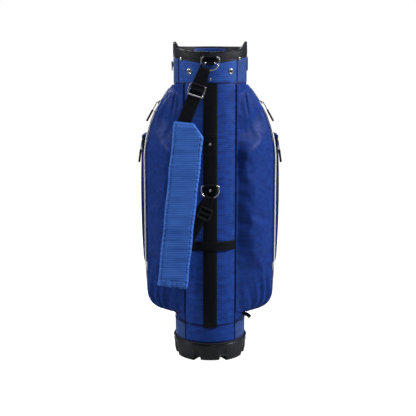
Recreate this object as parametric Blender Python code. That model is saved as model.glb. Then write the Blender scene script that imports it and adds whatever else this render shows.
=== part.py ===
"""A golf cart bag, standing upright: tube, cuff, base, pockets, dividers, strap and zips.

Metres, +Z up, floor at z = 0. The bag's tube stands on the Z axis. The spine, with the shoulder
strap, faces -Y, and left and right are -X and +X. Azimuths are measured from the spine.
"""

from math import asin, atan2, cos, degrees, pi, radians, sin, sqrt

import bmesh
import bpy
import numpy as np
from mathutils import Vector

# Driving dimensions
GAP = 0.0003  # clearance between pieces that rest on each other
TUBE_RADIUS = 0.1053  # outside of the body cover
CUFF_RADIUS = 0.1058
RIM_RADIUS = 0.1068
CUFF_Z = 0.808  # seam between the body cover and the cuff
SKIRT_Z = 0.110
BASE_HEIGHT = 0.052
FOOT_LIFT = 0.007  # height of the arches between the feet
FOOT_START, FOOT_END = 27.0, 63.0  # azimuths of a foot's ends
TURN = 9.0  # azimuth step of the round pieces
EAR_HEIGHT = 0.925
ARC_RADIUS = 0.3514  # the side pocket's shoulder is an arc of this radius
POCKET_HALF_WIDTH = 0.190
SHOULDER_Z = 0.58  # where the shoulder arc meets the straight side
POCKET_BOTTOM = 0.143
POCKET_TOP = 0.803
POCKET_CORNER = 0.050
POCKET_FRONT_Y = 0.072
SEAM_AZIMUTH = 44.0  # the seams beside the spine
WEB = 0.0012  # thickness of a webbing layer
WEB_WIDTH = 0.037
RING_WIRE = 0.00225  # wire radius of a strap ring
RING_HALF_WIDTH = 0.02525
RING_DROP = 0.0355
UPPER_BAR_Z = 0.878
LOWER_BAR_Z = 0.522
RUNNING = 0.0006  # clearance round a wire that turns in its webbing loop
PAD_LENGTH = 0.474
PAD_WIDTH = 0.086
PAD_THICKNESS = 0.014
PAD_BACK_Y = -0.1163
PULL_LENGTH = 0.064
PIPING_RADIUS = 0.0022

ARC_CENTRE_X = POCKET_HALF_WIDTH - ARC_RADIUS
SHELL_OUTER = TUBE_RADIUS - 0.0018
SHELL_INNER = SHELL_OUTER - 0.002
CUFF_SHELL_INNER = 0.1003
BINDING_RADIUS = 0.0027
BINDING_Z = BASE_HEIGHT + GAP + BINDING_RADIUS
LOOP_RADIUS = RING_WIRE + RUNNING + WEB / 2
UPPER_BAR_Y = -(RIM_RADIUS + GAP + WEB / 2 + LOOP_RADIUS)
SPINE_OUTER = TUBE_RADIUS + GAP + 0.002
LOWER_BAR_Y = -(SPINE_OUTER + GAP + WEB / 2 + LOOP_RADIUS)

FINISHES = {
    "ribbed_blue": ((0.030, 0.080, 0.280), 0.62, 0.0),
    "smooth_blue": ((0.020, 0.052, 0.200), 0.45, 0.0),
    "webbing_black": ((0.008, 0.009, 0.012), 0.75, 0.0),
    "moulded_black": ((0.014, 0.016, 0.024), 0.40, 0.0),
    "liner_grey": ((0.060, 0.062, 0.068), 0.55, 0.0),
    "piping_white": ((0.850, 0.850, 0.860), 0.50, 0.0),
    "bright_metal": ((0.720, 0.720, 0.740), 0.22, 1.0),
}


def material(name):
    """The Principled material of one finish, made once."""
    found = bpy.data.materials.get(name)
    if found:
        return found
    colour, roughness, metallic = FINISHES[name]
    made = bpy.data.materials.new(name)
    made.use_nodes = True
    shader = made.node_tree.nodes["Principled BSDF"]
    shader.inputs["Base Color"].default_value = (*colour, 1.0)
    shader.inputs["Roughness"].default_value = roughness
    shader.inputs["Metallic"].default_value = metallic
    return made


def finish(bm, name, finish_name, pivot=(0, 0, 0)):
    """Makes a named object from a bmesh in world coordinates, with its origin at the pivot."""
    bmesh.ops.remove_doubles(bm, verts=bm.verts, dist=1e-6)
    bmesh.ops.recalc_face_normals(bm, faces=bm.faces)
    bmesh.ops.translate(bm, verts=bm.verts, vec=-Vector(pivot))
    mesh = bpy.data.meshes.new(name)
    bm.to_mesh(mesh)
    bm.free()
    mesh.shade_smooth()
    mesh.set_sharp_from_angle(angle=radians(35))
    mesh.materials.append(material(finish_name))
    obj = bpy.data.objects.new(name, mesh)
    obj.location = pivot
    bpy.context.scene.collection.objects.link(obj)
    return obj


def turned(name, profile_at, finish_name, azimuths, whole=True):
    """Sweeps a closed (radius, z) profile round Z; profile_at(azimuth in degrees) gives its points."""
    bm = bmesh.new()
    rows = []
    for azimuth in azimuths:
        a = radians(azimuth)
        rows.append([bm.verts.new((r * sin(a), -r * cos(a), z)) for r, z in profile_at(azimuth)])
    pairs = zip(rows, rows[1:] + rows[:1]) if whole else zip(rows, rows[1:])
    for near, far in pairs:
        for i in range(len(near)):
            j = (i + 1) % len(near)
            bm.faces.new((near[i], near[j], far[j], far[i]))
    if not whole:
        bm.faces.new(rows[0])
        bm.faces.new(rows[-1])
    bmesh.ops.remove_doubles(bm, verts=bm.verts, dist=1e-6)
    bmesh.ops.dissolve_degenerate(bm, edges=bm.edges, dist=1e-7)
    return finish(bm, name, finish_name)


def around(steps):
    return [i * 360 / steps for i in range(steps)]


def band(r0, r1, z0, z1):
    """A rectangular ring profile."""
    return [(r0, z0), (r1, z0), (r1, z1), (r0, z1)]


def prism(name, outline, axes, depth, finish_name, pivot=(0, 0, 0)):
    """Extrudes a flat (u, v) outline both ways along its normal; axes = origin, u, v, normal."""
    origin, u_axis, v_axis, normal = (Vector(a) for a in axes)
    bm = bmesh.new()
    start = origin - normal * depth / 2
    face = bm.faces.new([bm.verts.new(start + u_axis * u + v_axis * v) for u, v in outline])
    made = bmesh.ops.extrude_face_region(bm, geom=[face])["geom"]
    moved = [g for g in made if isinstance(g, bmesh.types.BMVert)]
    bmesh.ops.translate(bm, verts=moved, vec=normal * depth)
    return finish(bm, name, finish_name, pivot)


def box(name, low, high, finish_name, pivot=(0, 0, 0), bevel=0.0):
    """An axis-aligned box between two corners, with its edges rounded by a Bevel."""
    low, high = Vector(low), Vector(high)
    outline = [(0, 0), (high.x - low.x, 0), (high.x - low.x, high.y - low.y), (0, high.y - low.y)]
    axes = ((low.x, low.y, (low.z + high.z) / 2), (1, 0, 0), (0, 1, 0), (0, 0, 1))
    obj = prism(name, outline, axes, high.z - low.z, finish_name, pivot)
    if bevel:
        round_edges(obj, bevel)
    return obj


def round_edges(obj, width, segments=2, angle=50):
    bevel = obj.modifiers.new("rounded", "BEVEL")
    bevel.width = width
    bevel.segments = segments
    bevel.limit_method = "ANGLE"
    bevel.angle_limit = radians(angle)


def arc(cx, cy, radius, start, end, steps):
    """Points on a circle between two angles in degrees."""
    angles = np.radians(np.linspace(start, end, steps + 1))
    return [(cx + radius * cos(a), cy + radius * sin(a)) for a in angles]


def rounded(corners, radius, steps=3):
    """A convex outline with each corner replaced by an arc-like curve."""
    points = []
    for i, corner in enumerate(corners):
        c = Vector(corner)
        before = (Vector(corners[i - 1]) - c).normalized() * radius
        after = (Vector(corners[(i + 1) % len(corners)]) - c).normalized() * radius
        for t in np.linspace(0, 1, steps + 1):
            points.append(tuple(c + before * (1 - t) ** 2 + after * t**2))
    return points


def ribbon(path, thickness):
    """The outline of a strip of the given thickness that follows an open (u, v) path."""
    points = [Vector(p) for p in path]
    left, right = [], []
    for i, p in enumerate(points):
        into = (p - points[i - 1]).normalized() if i else None
        out = (points[i + 1] - p).normalized() if i < len(points) - 1 else None
        along = ((into or out) + (out or into)).normalized()
        side = Vector((-along.y, along.x))
        turn = side.dot(Vector((-(out or into).y, (out or into).x)))
        offset = side * thickness / 2 / turn
        left.append(tuple(p + offset))
        right.append(tuple(p - offset))
    return left + right[::-1]


def wire(name, points, radius, finish_name, closed=False, sides=2, pivot=(0, 0, 0)):
    """A round wire or tube along 3-D points, as a bevelled poly curve made into a mesh."""
    curve = bpy.data.curves.new(name, "CURVE")
    curve.dimensions = "3D"
    curve.bevel_depth = radius
    curve.bevel_resolution = sides
    curve.use_fill_caps = True
    spline = curve.splines.new("POLY")
    spline.points.add(len(points) - 1)
    for point, co in zip(spline.points, points):
        point.co = (*(Vector(co) - Vector(pivot)), 1)
    spline.use_cyclic_u = closed
    curve.materials.append(material(finish_name))
    obj = bpy.data.objects.new(name, curve)
    obj.location = pivot
    bpy.context.scene.collection.objects.link(obj)
    return obj


def button(name, azimuth, radius_out, z, profile, finish_name):
    """A small turned piece, such as a rivet, whose axis points out of the tube; profile = (r, height)."""
    a = radians(azimuth)
    out = Vector((sin(a), -cos(a), 0))
    across = Vector((cos(a), sin(a), 0))
    centre = out * radius_out + Vector((0, 0, z))
    bm = bmesh.new()
    steps = 12
    rows = []
    for i in range(steps):
        t = 2 * pi * i / steps
        side = across * cos(t) + Vector((0, 0, sin(t)))
        rows.append([bm.verts.new(centre + side * r + out * h) for r, h in profile])
    for near, far in zip(rows, rows[1:] + rows[:1]):
        for i in range(len(profile)):
            j = (i + 1) % len(profile)
            bm.faces.new((near[i], near[j], far[j], far[i]))
    bmesh.ops.remove_doubles(bm, verts=bm.verts, dist=1e-6)
    bmesh.ops.dissolve_degenerate(bm, edges=bm.edges, dist=1e-7)
    return finish(bm, name, finish_name)


def joined(obj, other):
    """Boolean union of two objects; the other one becomes a hidden helper."""
    combine(obj, other, "UNION")


def combine(obj, other, operation):
    modifier = obj.modifiers.new(operation.lower(), "BOOLEAN")
    modifier.operation = operation
    modifier.object = other
    other.hide_render = True
    other.display_type = "WIRE"


# Tube, base and cuff


def is_foot(azimuth):
    """The four feet lie either side of the spine and of the front."""
    folded = min(azimuth % 180, 180 - azimuth % 180)
    return FOOT_START <= folded <= FOOT_END


def base_cup():
    """A moulded cup with four feet, a flat centre boss and a ledge that the shell stands on."""
    top = BASE_HEIGHT

    def profile(azimuth):
        z = 0.0 if is_foot(azimuth) else FOOT_LIFT
        outer = [(0.072, z), (0.1035, z), (0.1045, z + 0.002), (0.1085, top - 0.006), (0.1085, top)]
        inner = [(SHELL_OUTER + GAP, top), (SHELL_OUTER + GAP, 0.016), (0.100, 0.016), (0.100, 0.011)]
        return [(0, 0), (0.030, 0), (0.031, FOOT_LIFT), (0.071, FOOT_LIFT), *outer, *inner, (0, 0.011)]

    steps = around(round(360 / TURN))
    ramps = [q + e for q in (0, 90, 180, 270) for e in (FOOT_START - 0.8, FOOT_END + 0.8)]
    turned("base_cup", profile, "moulded_black", sorted(steps + ramps))


def tube():
    """The shell, its fabric covers and the binding cord above the base."""
    steps = around(round(360 / TURN))
    turned("inner_shell", lambda a: band(SHELL_INNER, SHELL_OUTER, 0.0163, 0.800), "liner_grey", steps)
    inside = SHELL_OUTER + GAP
    body = band(inside, TUBE_RADIUS, SKIRT_Z + GAP, CUFF_Z - GAP)
    turned("body_cover", lambda a: body, "ribbed_blue", steps)
    skirt = band(inside, TUBE_RADIUS, BINDING_Z + BINDING_RADIUS + GAP, SKIRT_Z)
    turned("skirt_cover", lambda a: skirt, "ribbed_blue", steps)
    bead = arc(0.1075, BINDING_Z, BINDING_RADIUS, 0, 300, 5)
    turned("base_binding", lambda a: bead, "webbing_black", steps)


def rim_low(azimuth):
    """Lower edge of the rim binding: it dips at the spine and stays level round the front."""
    folded = min(azimuth, 360 - azimuth)
    return 0.863 + 0.019 * sin(radians(min(folded, 90))) ** 2


def rim_top(azimuth):
    """Upper edge of the rim: low at the spine, an ear at each side, level round the front."""
    folded = min(azimuth, 360 - azimuth)
    knots = [0, 30, 58, 68, 77, 92, 104, 116, 180]
    heights = [0.894, 0.8965, 0.903, 0.916, EAR_HEIGHT, EAR_HEIGHT, 0.917, 0.913, 0.915]
    return float(np.interp(folded, knots, heights))


def cuff():
    """Cuff ring, its cover, and the rim binding that folds over the ring's edge."""
    steps = around(60)
    inside = SHELL_OUTER + GAP
    wall_top = 0.008
    shell = lambda a: band(CUFF_SHELL_INNER, SHELL_OUTER, 0.8003, rim_top(a) - wall_top - GAP)
    turned("top_cuff_shell", shell, "liner_grey", steps)
    cover = lambda a: band(inside, CUFF_RADIUS, CUFF_Z, rim_low(a) - GAP)
    turned("cuff_cover", cover, "ribbed_blue", steps)

    def rim(a):
        low, top = rim_low(a), rim_top(a)
        outside = [(inside, low), (RIM_RADIUS, low), (RIM_RADIUS, top - 0.002), (0.1050, top)]
        lip = [(0.0995, top), (0.0980, top - 0.002), (0.0980, low - 0.002), (0.1000, low - 0.002)]
        return [*outside, *lip, (0.1000, top - wall_top), (inside, top - wall_top)]

    turned("rim_binding", rim, "webbing_black", steps)


def dividers():
    """A hoop with bars that make five wells, and a full-length sheet under each bar."""
    z0, z1 = 0.835, 0.853
    steps = around(round(360 / TURN))
    hoop = turned("divider_top", lambda a: band(0.0940, 0.0975, z0, z1), "webbing_black", steps)
    bars = {
        "cross": ((-0.0955, -0.021), (0.0955, -0.009)),
        "front": ((-0.006, -0.015), (0.006, 0.0955)),
        "back_left": ((-0.040, -0.088), (-0.030, -0.015)),
        "back_right": ((0.030, -0.088), (0.040, -0.015)),
    }
    for key, ((x0, y0), (x1, y1)) in bars.items():
        bar = box("bar_" + key, (x0, y0, z0), (x1, y1, z1), "webbing_black")
        joined(hoop, bar)
    half = 0.0008
    sheets = {
        "cross": ((-0.098, -0.015 - half), (0.098, -0.015 + half)),
        "front": ((-half, -0.0138), (half, 0.099)),
        "back_left": ((-0.035 - half, -0.093), (-0.035 + half, -0.0162)),
        "back_right": ((0.035 - half, -0.093), (0.035 + half, -0.0162)),
    }
    for key, ((x0, y0), (x1, y1)) in sheets.items():
        box("divider_sheet_" + key, (x0, y0, 0.0115), (x1, y1, z0 - GAP), "smooth_blue")


# Back panel, rings and tabs


def back_panel():
    """The spine webbing and the keeper band that stands proud of it from seam to seam."""
    spine = band(TUBE_RADIUS + GAP, SPINE_OUTER, 0.104, CUFF_Z - GAP)
    turned("spine_webbing", lambda a: spine, "webbing_black", np.linspace(-10.9, 10.9, 5), False)

    def keeper(a):
        lift = 0.0049 * min(1, (SEAM_AZIMUTH - abs(a)) / 14)
        inner = TUBE_RADIUS + GAP + lift
        return band(inner, inner + 0.0014, 0.334, 0.361)

    turns = [-44, -37, -30, -20, -10, 0, 10, 20, 30, 37, 44]
    turned("keeper_band", keeper, "webbing_black", turns, False)


def tab_path(bar_y, bar_z, bottom):
    """Path of a webbing tab that comes up behind a ring's bar, over it and down again."""
    back = bar_y + LOOP_RADIUS
    front = back - WEB - 0.0004
    over = arc(bar_y, bar_z, LOOP_RADIUS, 0, 200, 8)
    return [(back, bottom), *over, (front, bar_z - 0.007), (front, bottom)]


def ring_tab(name, bar_y, bar_z, bottom, width):
    outline = ribbon(tab_path(bar_y, bar_z, bottom), WEB)
    prism(name, outline, ((0, 0, 0), (0, 1, 0), (0, 0, 1), (1, 0, 0)), width, "webbing_black")


def ring_points(half_width, drop, corner):
    """Centre line of a D-shaped ring as (across, up) points, its straight bar along the top."""
    side = drop * 0.34
    bar = arc(half_width - corner, -corner, corner, 90, 0, 3)
    bottom = [(half_width * cos(t), -side - (drop - side) * sin(t)) for t in np.linspace(0, pi, 15)]
    return bar + bottom + [(-u, v) for u, v in bar[::-1]]


def strap_ring(name, bar_y, bar_z, radius):
    points = [(u, bar_y, bar_z + v) for u, v in ring_points(RING_HALF_WIDTH, RING_DROP, 0.006)]
    return wire(name, points, radius, "bright_metal", closed=True, pivot=(0, bar_y, bar_z))


def rings_and_fasteners():
    ring_tab("upper_ring_tab", UPPER_BAR_Y, UPPER_BAR_Z, 0.857, 0.036)
    ring_tab("lower_ring_tab", LOWER_BAR_Y, LOWER_BAR_Z, 0.502, 0.036)
    strap_ring("upper_d_ring", UPPER_BAR_Y, UPPER_BAR_Z, RING_WIRE)
    strap_ring("lower_d_ring", LOWER_BAR_Y, LOWER_BAR_Z, RING_WIRE)
    dome = [(0, 0), (0.0034, 0), (0.0030, 0.0008), (0, 0.0013)]
    tab_face_y = UPPER_BAR_Y + LOOP_RADIUS - WEB * 1.5 - 0.0004
    for side, x in (("left", -0.014), ("right", 0.014)):
        flat_button("tab_rivet_" + side, x, tab_face_y - GAP, 0.8625, dome)
    button("cuff_rivet", 0, CUFF_RADIUS + GAP, 0.8185, dome, "bright_metal")
    eyelet = [(0.0036, 0), (0.0080, 0), (0.0074, 0.0010), (0.0042, 0.0012)]
    stud = [(0, 0), (0.0052, 0), (0.0046, 0.0016), (0.0026, 0.0028), (0, 0.0032)]
    for side, sign in (("left", -1), ("right", 1)):
        button("eyelet_" + side, sign * 33, CUFF_RADIUS + GAP, 0.840, eyelet, "bright_metal")
        button("stud_" + side, sign * 50, RIM_RADIUS + GAP, 0.8756, stud, "bright_metal")


def flat_button(name, x, y, z, profile):
    """A rivet on a flat face that looks along -Y."""
    obj = button(name, 0, 0, 0, profile, "bright_metal")
    for vertex in obj.data.vertices:
        vertex.co += Vector((x, y, z))


# Pockets


def pocket_width(z):
    """Half the width over both side pockets: a corner arc, a straight side and a shoulder arc."""
    if z > SHOULDER_Z:
        return ARC_CENTRE_X + sqrt(ARC_RADIUS**2 - (z - SHOULDER_Z) ** 2)
    corner_z = POCKET_BOTTOM + POCKET_CORNER
    if z < corner_z:
        depth = min(POCKET_CORNER, corner_z - z)
        return POCKET_HALF_WIDTH - POCKET_CORNER + sqrt(POCKET_CORNER**2 - depth**2)
    return POCKET_HALF_WIDTH


POCKET_ROWS = [POCKET_BOTTOM, 0.146, 0.155, 0.170, 0.193, 0.375, SHOULDER_Z, 0.615, 0.650, 0.685, 0.715,
               0.742, 0.766, 0.787, POCKET_TOP]


def reach(azimuth, corners):
    """Distance from the tube axis to a chain of (x, y) corners, along an azimuth in degrees."""
    a = radians(azimuth)
    dx, dy = sin(a), -cos(a)
    for (x0, y0), (x1, y1) in zip(corners, corners[1:]):
        ex, ey = x1 - x0, y1 - y0
        across = dx * ey - dy * ex
        if abs(across) < 1e-12:
            continue
        along = (dx * -y0 + dy * x0) / across
        distance = (x0 * ey - y0 * ex) / across
        if -1e-6 <= along <= 1 + 1e-6 and distance > 0:
            return distance
    return 0.0


def azimuth_of(x, y):
    return degrees(atan2(x, -y)) % 360


def pocket(name, rows, corners_at, start, end, finish_name, mirrored=False):
    """A pocket on the tube between two azimuths; corners_at(z) gives its outer corners."""
    widest_step = (end - start) / 8
    inner = (TUBE_RADIUS + GAP) / cos(radians(widest_step / 2))
    thinnest = inner + 0.0022
    bm = bmesh.new()
    grid = []
    for z in rows:
        corners = corners_at(z)
        bends = [azimuth_of(x, y) for x, y in corners]
        bends = [start, *[b for b in bends if start < b < end], end]
        spans = zip(bends, bends[1:])
        turns = [turn for a, b in spans for turn in np.linspace(a, b, 5)[:-1]] + [end]
        outer = [(max(thinnest, reach(t, corners)), t) for t in turns]
        ring = outer + [(inner, t) for t in turns[::-1]]
        sign = -1 if mirrored else 1
        grid.append([bm.verts.new((sign * r * sin(radians(t)), -r * cos(radians(t)), z)) for r, t in ring])
    for low, high in zip(grid, grid[1:]):
        for i in range(len(low)):
            j = (i + 1) % len(low)
            bm.faces.new((low[i], low[j], high[j], high[i]))
    for row in (grid[0], grid[-1]):
        half = len(row) // 2
        for i in range(half - 1):
            bm.faces.new((row[i], row[i + 1], row[-2 - i], row[-1 - i]))
    return finish(bm, name, finish_name)


def side_pockets():
    """A side pocket, its piping and the slim pocket on its outer face, on each side."""

    def corners(z):
        w = pocket_width(z)
        front = min(POCKET_FRONT_Y, w * 0.60)
        start = [TUBE_RADIUS * sin(radians(SEAM_AZIMUTH)), -TUBE_RADIUS * cos(radians(SEAM_AZIMUTH))]
        return [tuple(start), (w, 0), (w, front), (0.074, 0.0755)]

    path = []
    for z in [z for z in POCKET_ROWS if 0.16 < z < 0.79]:
        slope = (pocket_width(z + 1e-4) - pocket_width(z - 1e-4)) / 2e-4
        normal = Vector((1, -slope)).normalized() * (PIPING_RADIUS + 0.0006)
        path.append((pocket_width(z) + normal.x, z + normal.y))
    for side, sign in (("left", -1), ("right", 1)):
        pocket("side_pocket_" + side, POCKET_ROWS, corners, 44.5, 135, "smooth_blue", sign < 0)
        line = [(sign * x, 0, z) for x, z in path]
        wire("pocket_piping_" + side, line, PIPING_RADIUS, "piping_white", sides=1)
        near, far = sign * (POCKET_HALF_WIDTH + GAP), sign * 0.205
        low = (min(near, far), 0.024, 0.27)
        box("accessory_pocket_" + side, low, (max(near, far), 0.070, 0.66), "smooth_blue", bevel=0.003)


def front_pockets():
    """The ball pocket low on the front, and the valuables pocket above it with its flap."""

    def block(half, y):
        return lambda z: [(0.066, 0.083), (half, y), (-half, y), (-0.066, 0.083)]

    pocket("ball_pocket", [0.130, 0.360], block(0.068, 0.158), 142, 218, "smooth_blue")
    pocket("valuables_pocket", [0.420, 0.655], block(0.058, 0.138), 142, 218, "smooth_blue")
    hinge = (0, 0.1384, 0.654)
    box("valuables_flap", (-0.052, 0.1384, 0.560), (0.052, 0.1400, 0.654), "ribbed_blue", hinge)


# Zips


def zip_slider(name, axes, pivot):
    """A slider 14 mm long, 6 mm wide and 4 mm high, whose base lies on the axes' origin."""
    outline = rounded([(-0.007, 0), (0.007, 0), (0.007, 0.004), (-0.007, 0.004)], 0.0012, 1)
    prism(name, outline, axes, 0.006, "moulded_black", pivot)


def zip_pull(name, axes, pivot):
    """A thin cord that widens to a rubber tip; u runs down its length and v across it."""
    cord, tip, end = 0.0012, 0.0030, PULL_LENGTH
    right = [(-0.0015, cord), (0.024, cord), (0.028, tip), (end - 0.002, tip), (end, 0.0018)]
    outline = right + [(u, -v) for u, v in right[::-1]]
    prism(name, outline, axes, 0.0028, "moulded_black", pivot)


def shoulder_zip(side, sign):
    """The side pocket's zip, on an arc: its slider turns about the arc's centre."""
    base = ARC_RADIUS + GAP
    y_mid = 0.0075
    centre = (sign * ARC_CENTRE_X, y_mid, SHOULDER_Z)
    inner = arc(0, 0, base, 2, 37, 10)
    outer = arc(0, 0, base + 0.0015, 37, 2, 10)
    axes = (centre, (sign, 0, 0), (0, 0, 1), (0, 1, 0))
    prism("zip_track_side_" + side, inner + outer, axes, 0.0055, "webbing_black")
    rest = asin((0.750 - SHOULDER_Z) / ARC_RADIUS)
    out = Vector((sign * cos(rest), 0, sin(rest)))
    down = Vector((sign * sin(rest), 0, -cos(rest)))
    seat = Vector(centre) + out * (base + 0.0015 + GAP)
    zip_slider("zip_slider_side_" + side, (seat, down, out, (0, 1, 0)), centre)
    hinge = seat + out * 0.0065 + down * 0.002
    # v runs across the pull along Y, so its flat side lies against the pocket.
    zip_pull("zip_pull_side_" + side, (hinge, down, (0, 1, 0), out), hinge)


def accessory_zips(side, sign):
    """The slim pocket's straight zip, with one slider on the left and two on the right."""
    low, high = sorted((sign * 0.1935, sign * 0.2015))
    box("zip_track_accessory_" + side, (low, 0.0222, 0.290), (high, 0.0237, 0.655), "webbing_black")
    # Each slider: its height, its pull's distance from the axis and the pull's lean outwards.
    sliders = {"": (0.640, 0.2010, 8)}
    if sign > 0:
        sliders["_second"] = (0.612, 0.1985, 0)
    for tail, (z, pull_x, lean_degrees) in sliders.items():
        seat = (sign * 0.1975, 0.0222 - GAP, z)
        axes = (seat, (0, 0, -1), (0, -1, 0), (1, 0, 0))
        zip_slider(f"zip_slider_accessory_{side}{tail}", axes, seat)
        hinge = Vector((sign * pull_x, 0.0222 - GAP - 0.0062, z - 0.002))
        lean = radians(lean_degrees)
        down = (sign * sin(lean), 0, -cos(lean))
        axes = (hinge, down, (cos(lean), 0, sign * sin(lean)), (0, 1, 0))
        zip_pull(f"zip_pull_accessory_{side}{tail}", axes, hinge)


def ball_zip():
    box("zip_track_ball", (-0.056, 0.1583, 0.321), (0.056, 0.1598, 0.329), "webbing_black")
    seat = (-0.048, 0.1601, 0.325)
    zip_slider("zip_slider_ball", (seat, (1, 0, 0), (0, 1, 0), (0, 0, 1)), seat)
    hinge = (-0.048, 0.1663, 0.325)
    zip_pull("zip_pull_ball", (hinge, (0, 0, -1), (1, 0, 0), (0, 1, 0)), hinge)


# Shoulder strap


def leaning(lean):
    """Unit vectors down a strap that leans left by an angle, and across it to the right."""
    a = radians(lean)
    return Vector((-sin(a), 0, -cos(a))), Vector((cos(a), 0, -sin(a)))


def looped_web(name, start, lean, path, bar_y, bar_z):
    """Webbing in a (down, outward) path round a ring, notched where the ring's wire crosses it."""
    down, across = leaning(lean)
    axes = (start, down, (0, -1, 0), across)
    web = prism(name, ribbon(path, WEB), axes, WEB_WIDTH, "webbing_black", (0, bar_y, bar_z))
    notch = strap_ring(name + "_notch", bar_y, bar_z, RING_WIRE + RUNNING)
    bpy.context.view_layer.update()
    solid = bpy.data.meshes.new_from_object(notch.evaluated_get(bpy.context.evaluated_depsgraph_get()))
    helper = bpy.data.objects.new(name + "_cutter", solid)
    helper.location = notch.location
    bpy.context.scene.collection.objects.link(helper)
    bpy.data.objects.remove(notch)
    combine(web, helper, "DIFFERENCE")


def frame_buckle(name, centre, lean, width, height, wire_width, depth, finish_name, pivot):
    """A flat buckle with two slots and a middle bar."""
    down, across = leaning(lean)
    axes = (centre, across, -down, (0, 1, 0))
    w, h = width / 2, height / 2
    outline = rounded([(-w, -h), (w, -h), (w, h), (-w, h)], 0.006)
    buckle = prism(name, outline, axes, depth, finish_name, pivot)
    slot_w, slot_h = w - wire_width, (h - 1.5 * wire_width) / 2
    for i, sign in enumerate((-1, 1)):
        mid = sign * (wire_width / 2 + slot_h)
        low, high = mid - slot_h, mid + slot_h
        slot = [(-slot_w, low), (slot_w, low), (slot_w, high), (-slot_w, high)]
        cutter = prism(f"{name}_slot_{i}", slot, axes, depth * 3, finish_name)
        combine(buckle, cutter, "DIFFERENCE")


def shoulder_strap():
    """Upper webbing with its slide, the padded strap, and the lower webbing with its buckle."""
    upper, lower = (0, UPPER_BAR_Y, UPPER_BAR_Z), (0, LOWER_BAR_Y, LOWER_BAR_Z)
    g = LOOP_RADIUS
    crest = arc(-0.003, 0, g, 270, 90, 8)
    looped_web("strap_upper_web", (-0.0145, UPPER_BAR_Y, 0.844), 22,
               [(0.028, -g), *crest, (0.185, g)], UPPER_BAR_Y, UPPER_BAR_Z)
    slide_y = UPPER_BAR_Y - g - WEB / 2 - GAP - 0.0015
    frame_buckle("strap_slide", (-0.0375, slide_y, 0.788), 17, 0.048, 0.034, 0.0042, 0.003,
                 "bright_metal", upper)

    down, across = leaning(6.1)
    axes = ((-0.0577, PAD_BACK_Y - PAD_THICKNESS / 2, 0.700), across, down, (0, 1, 0))
    h = PAD_WIDTH / 2
    outline = [(-h, 0), (0.012, 0), (h, 0.037), (h, PAD_LENGTH), (-h, PAD_LENGTH)]
    pad = prism("strap_pad", rounded(outline, 0.010), axes, PAD_THICKNESS, "ribbed_blue", upper)
    round_edges(pad, 0.004, angle=60)

    back = -(LOWER_BAR_Y + 0.1101)
    tail = [(0.055, g), *arc(-0.003, 0, g, 90, 270, 8), (0.020, -g), (0.045, -back), (0.252, -back)]
    looped_web("strap_lower_web", (-0.003, LOWER_BAR_Y, 0.487), 26.5, tail, LOWER_BAR_Y, LOWER_BAR_Z)
    buckle_y = LOWER_BAR_Y - g - WEB / 2 - GAP - 0.002
    frame_buckle("strap_buckle", (-0.0160, buckle_y, 0.444), 24, 0.040, 0.036, 0.006, 0.004,
                 "moulded_black", lower)


# Cuff fittings


def towel_ring():
    """A small ring in a webbing tab on the left of the cuff."""
    wire_radius, half_tab = 0.0015, 0.006
    loop = wire_radius + RUNNING + WEB / 2
    back = -(CUFF_RADIUS + GAP + WEB / 2)
    bar = (back - loop, 0.866)
    front = back - WEB - 0.0004
    path = [(back, 0.853), *arc(*bar, loop, 0, 200, 8), (front, bar[1] - 0.006), (front, 0.853)]
    axes = ((0, 0, 0), (1, 0, 0), (0, 0, 1), (0, 1, 0))
    prism("towel_ring_tab", ribbon(path, WEB), axes, half_tab * 2, "webbing_black")
    points = [(bar[0], u, bar[1] + v) for u, v in ring_points(0.0105, 0.022, 0.003)]
    wire("towel_ring", points, wire_radius, "bright_metal", True, 1, (bar[0], 0, bar[1]))


def lift_handle():
    """A moulded grab handle on the front of the cuff."""
    reach_y, half, corner = 0.140, 0.036, 0.014
    bend = arc(half - corner, reach_y - corner, corner, 0, 90, 4)
    side = [(half, 0.1035), *bend]
    line = side + [(-x, y) for x, y in side[::-1]]
    wire("lift_handle", [(x, y, 0.845) for x, y in line], 0.006, "moulded_black")


def main():
    for obj in list(bpy.data.objects):
        bpy.data.objects.remove(obj)
    base_cup()
    tube()
    cuff()
    dividers()
    back_panel()
    rings_and_fasteners()
    side_pockets()
    front_pockets()
    for side, sign in (("left", -1), ("right", 1)):
        shoulder_zip(side, sign)
        accessory_zips(side, sign)
    ball_zip()
    shoulder_strap()
    towel_ring()
    lift_handle()


main()
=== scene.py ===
"""Looks of a standing golf cart bag: fabric, webbing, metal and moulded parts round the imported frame.

Metres, +Z up. The tube stands on the Z axis, its spine faces -Y, and azimuths are measured from
the spine towards +X.
"""

import logging
from dataclasses import dataclass, field
from enum import Enum
from math import cos, pi, radians, sin

import bmesh
import bpy
import numpy as np
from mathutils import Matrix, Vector

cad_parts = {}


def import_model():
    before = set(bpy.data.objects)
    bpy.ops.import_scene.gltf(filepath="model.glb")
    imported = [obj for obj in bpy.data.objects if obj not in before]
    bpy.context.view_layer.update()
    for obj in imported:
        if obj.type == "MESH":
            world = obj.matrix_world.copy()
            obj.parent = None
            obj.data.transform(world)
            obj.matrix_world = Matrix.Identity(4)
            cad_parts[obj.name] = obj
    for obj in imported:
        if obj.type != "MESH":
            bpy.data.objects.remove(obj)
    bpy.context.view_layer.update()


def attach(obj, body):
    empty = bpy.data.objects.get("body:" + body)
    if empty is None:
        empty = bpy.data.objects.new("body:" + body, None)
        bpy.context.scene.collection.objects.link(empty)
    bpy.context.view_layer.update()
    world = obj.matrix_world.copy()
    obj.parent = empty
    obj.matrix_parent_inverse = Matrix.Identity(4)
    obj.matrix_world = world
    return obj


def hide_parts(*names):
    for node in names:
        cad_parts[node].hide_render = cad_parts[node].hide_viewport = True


LOG = logging.getLogger("golf_bag")
Array = np.ndarray
Piece = bpy.types.Object
CLEAR = 0.0003
AXIS = 1e-5


# --- arrays and meshes -------------------------------------------------------------------------


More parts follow.
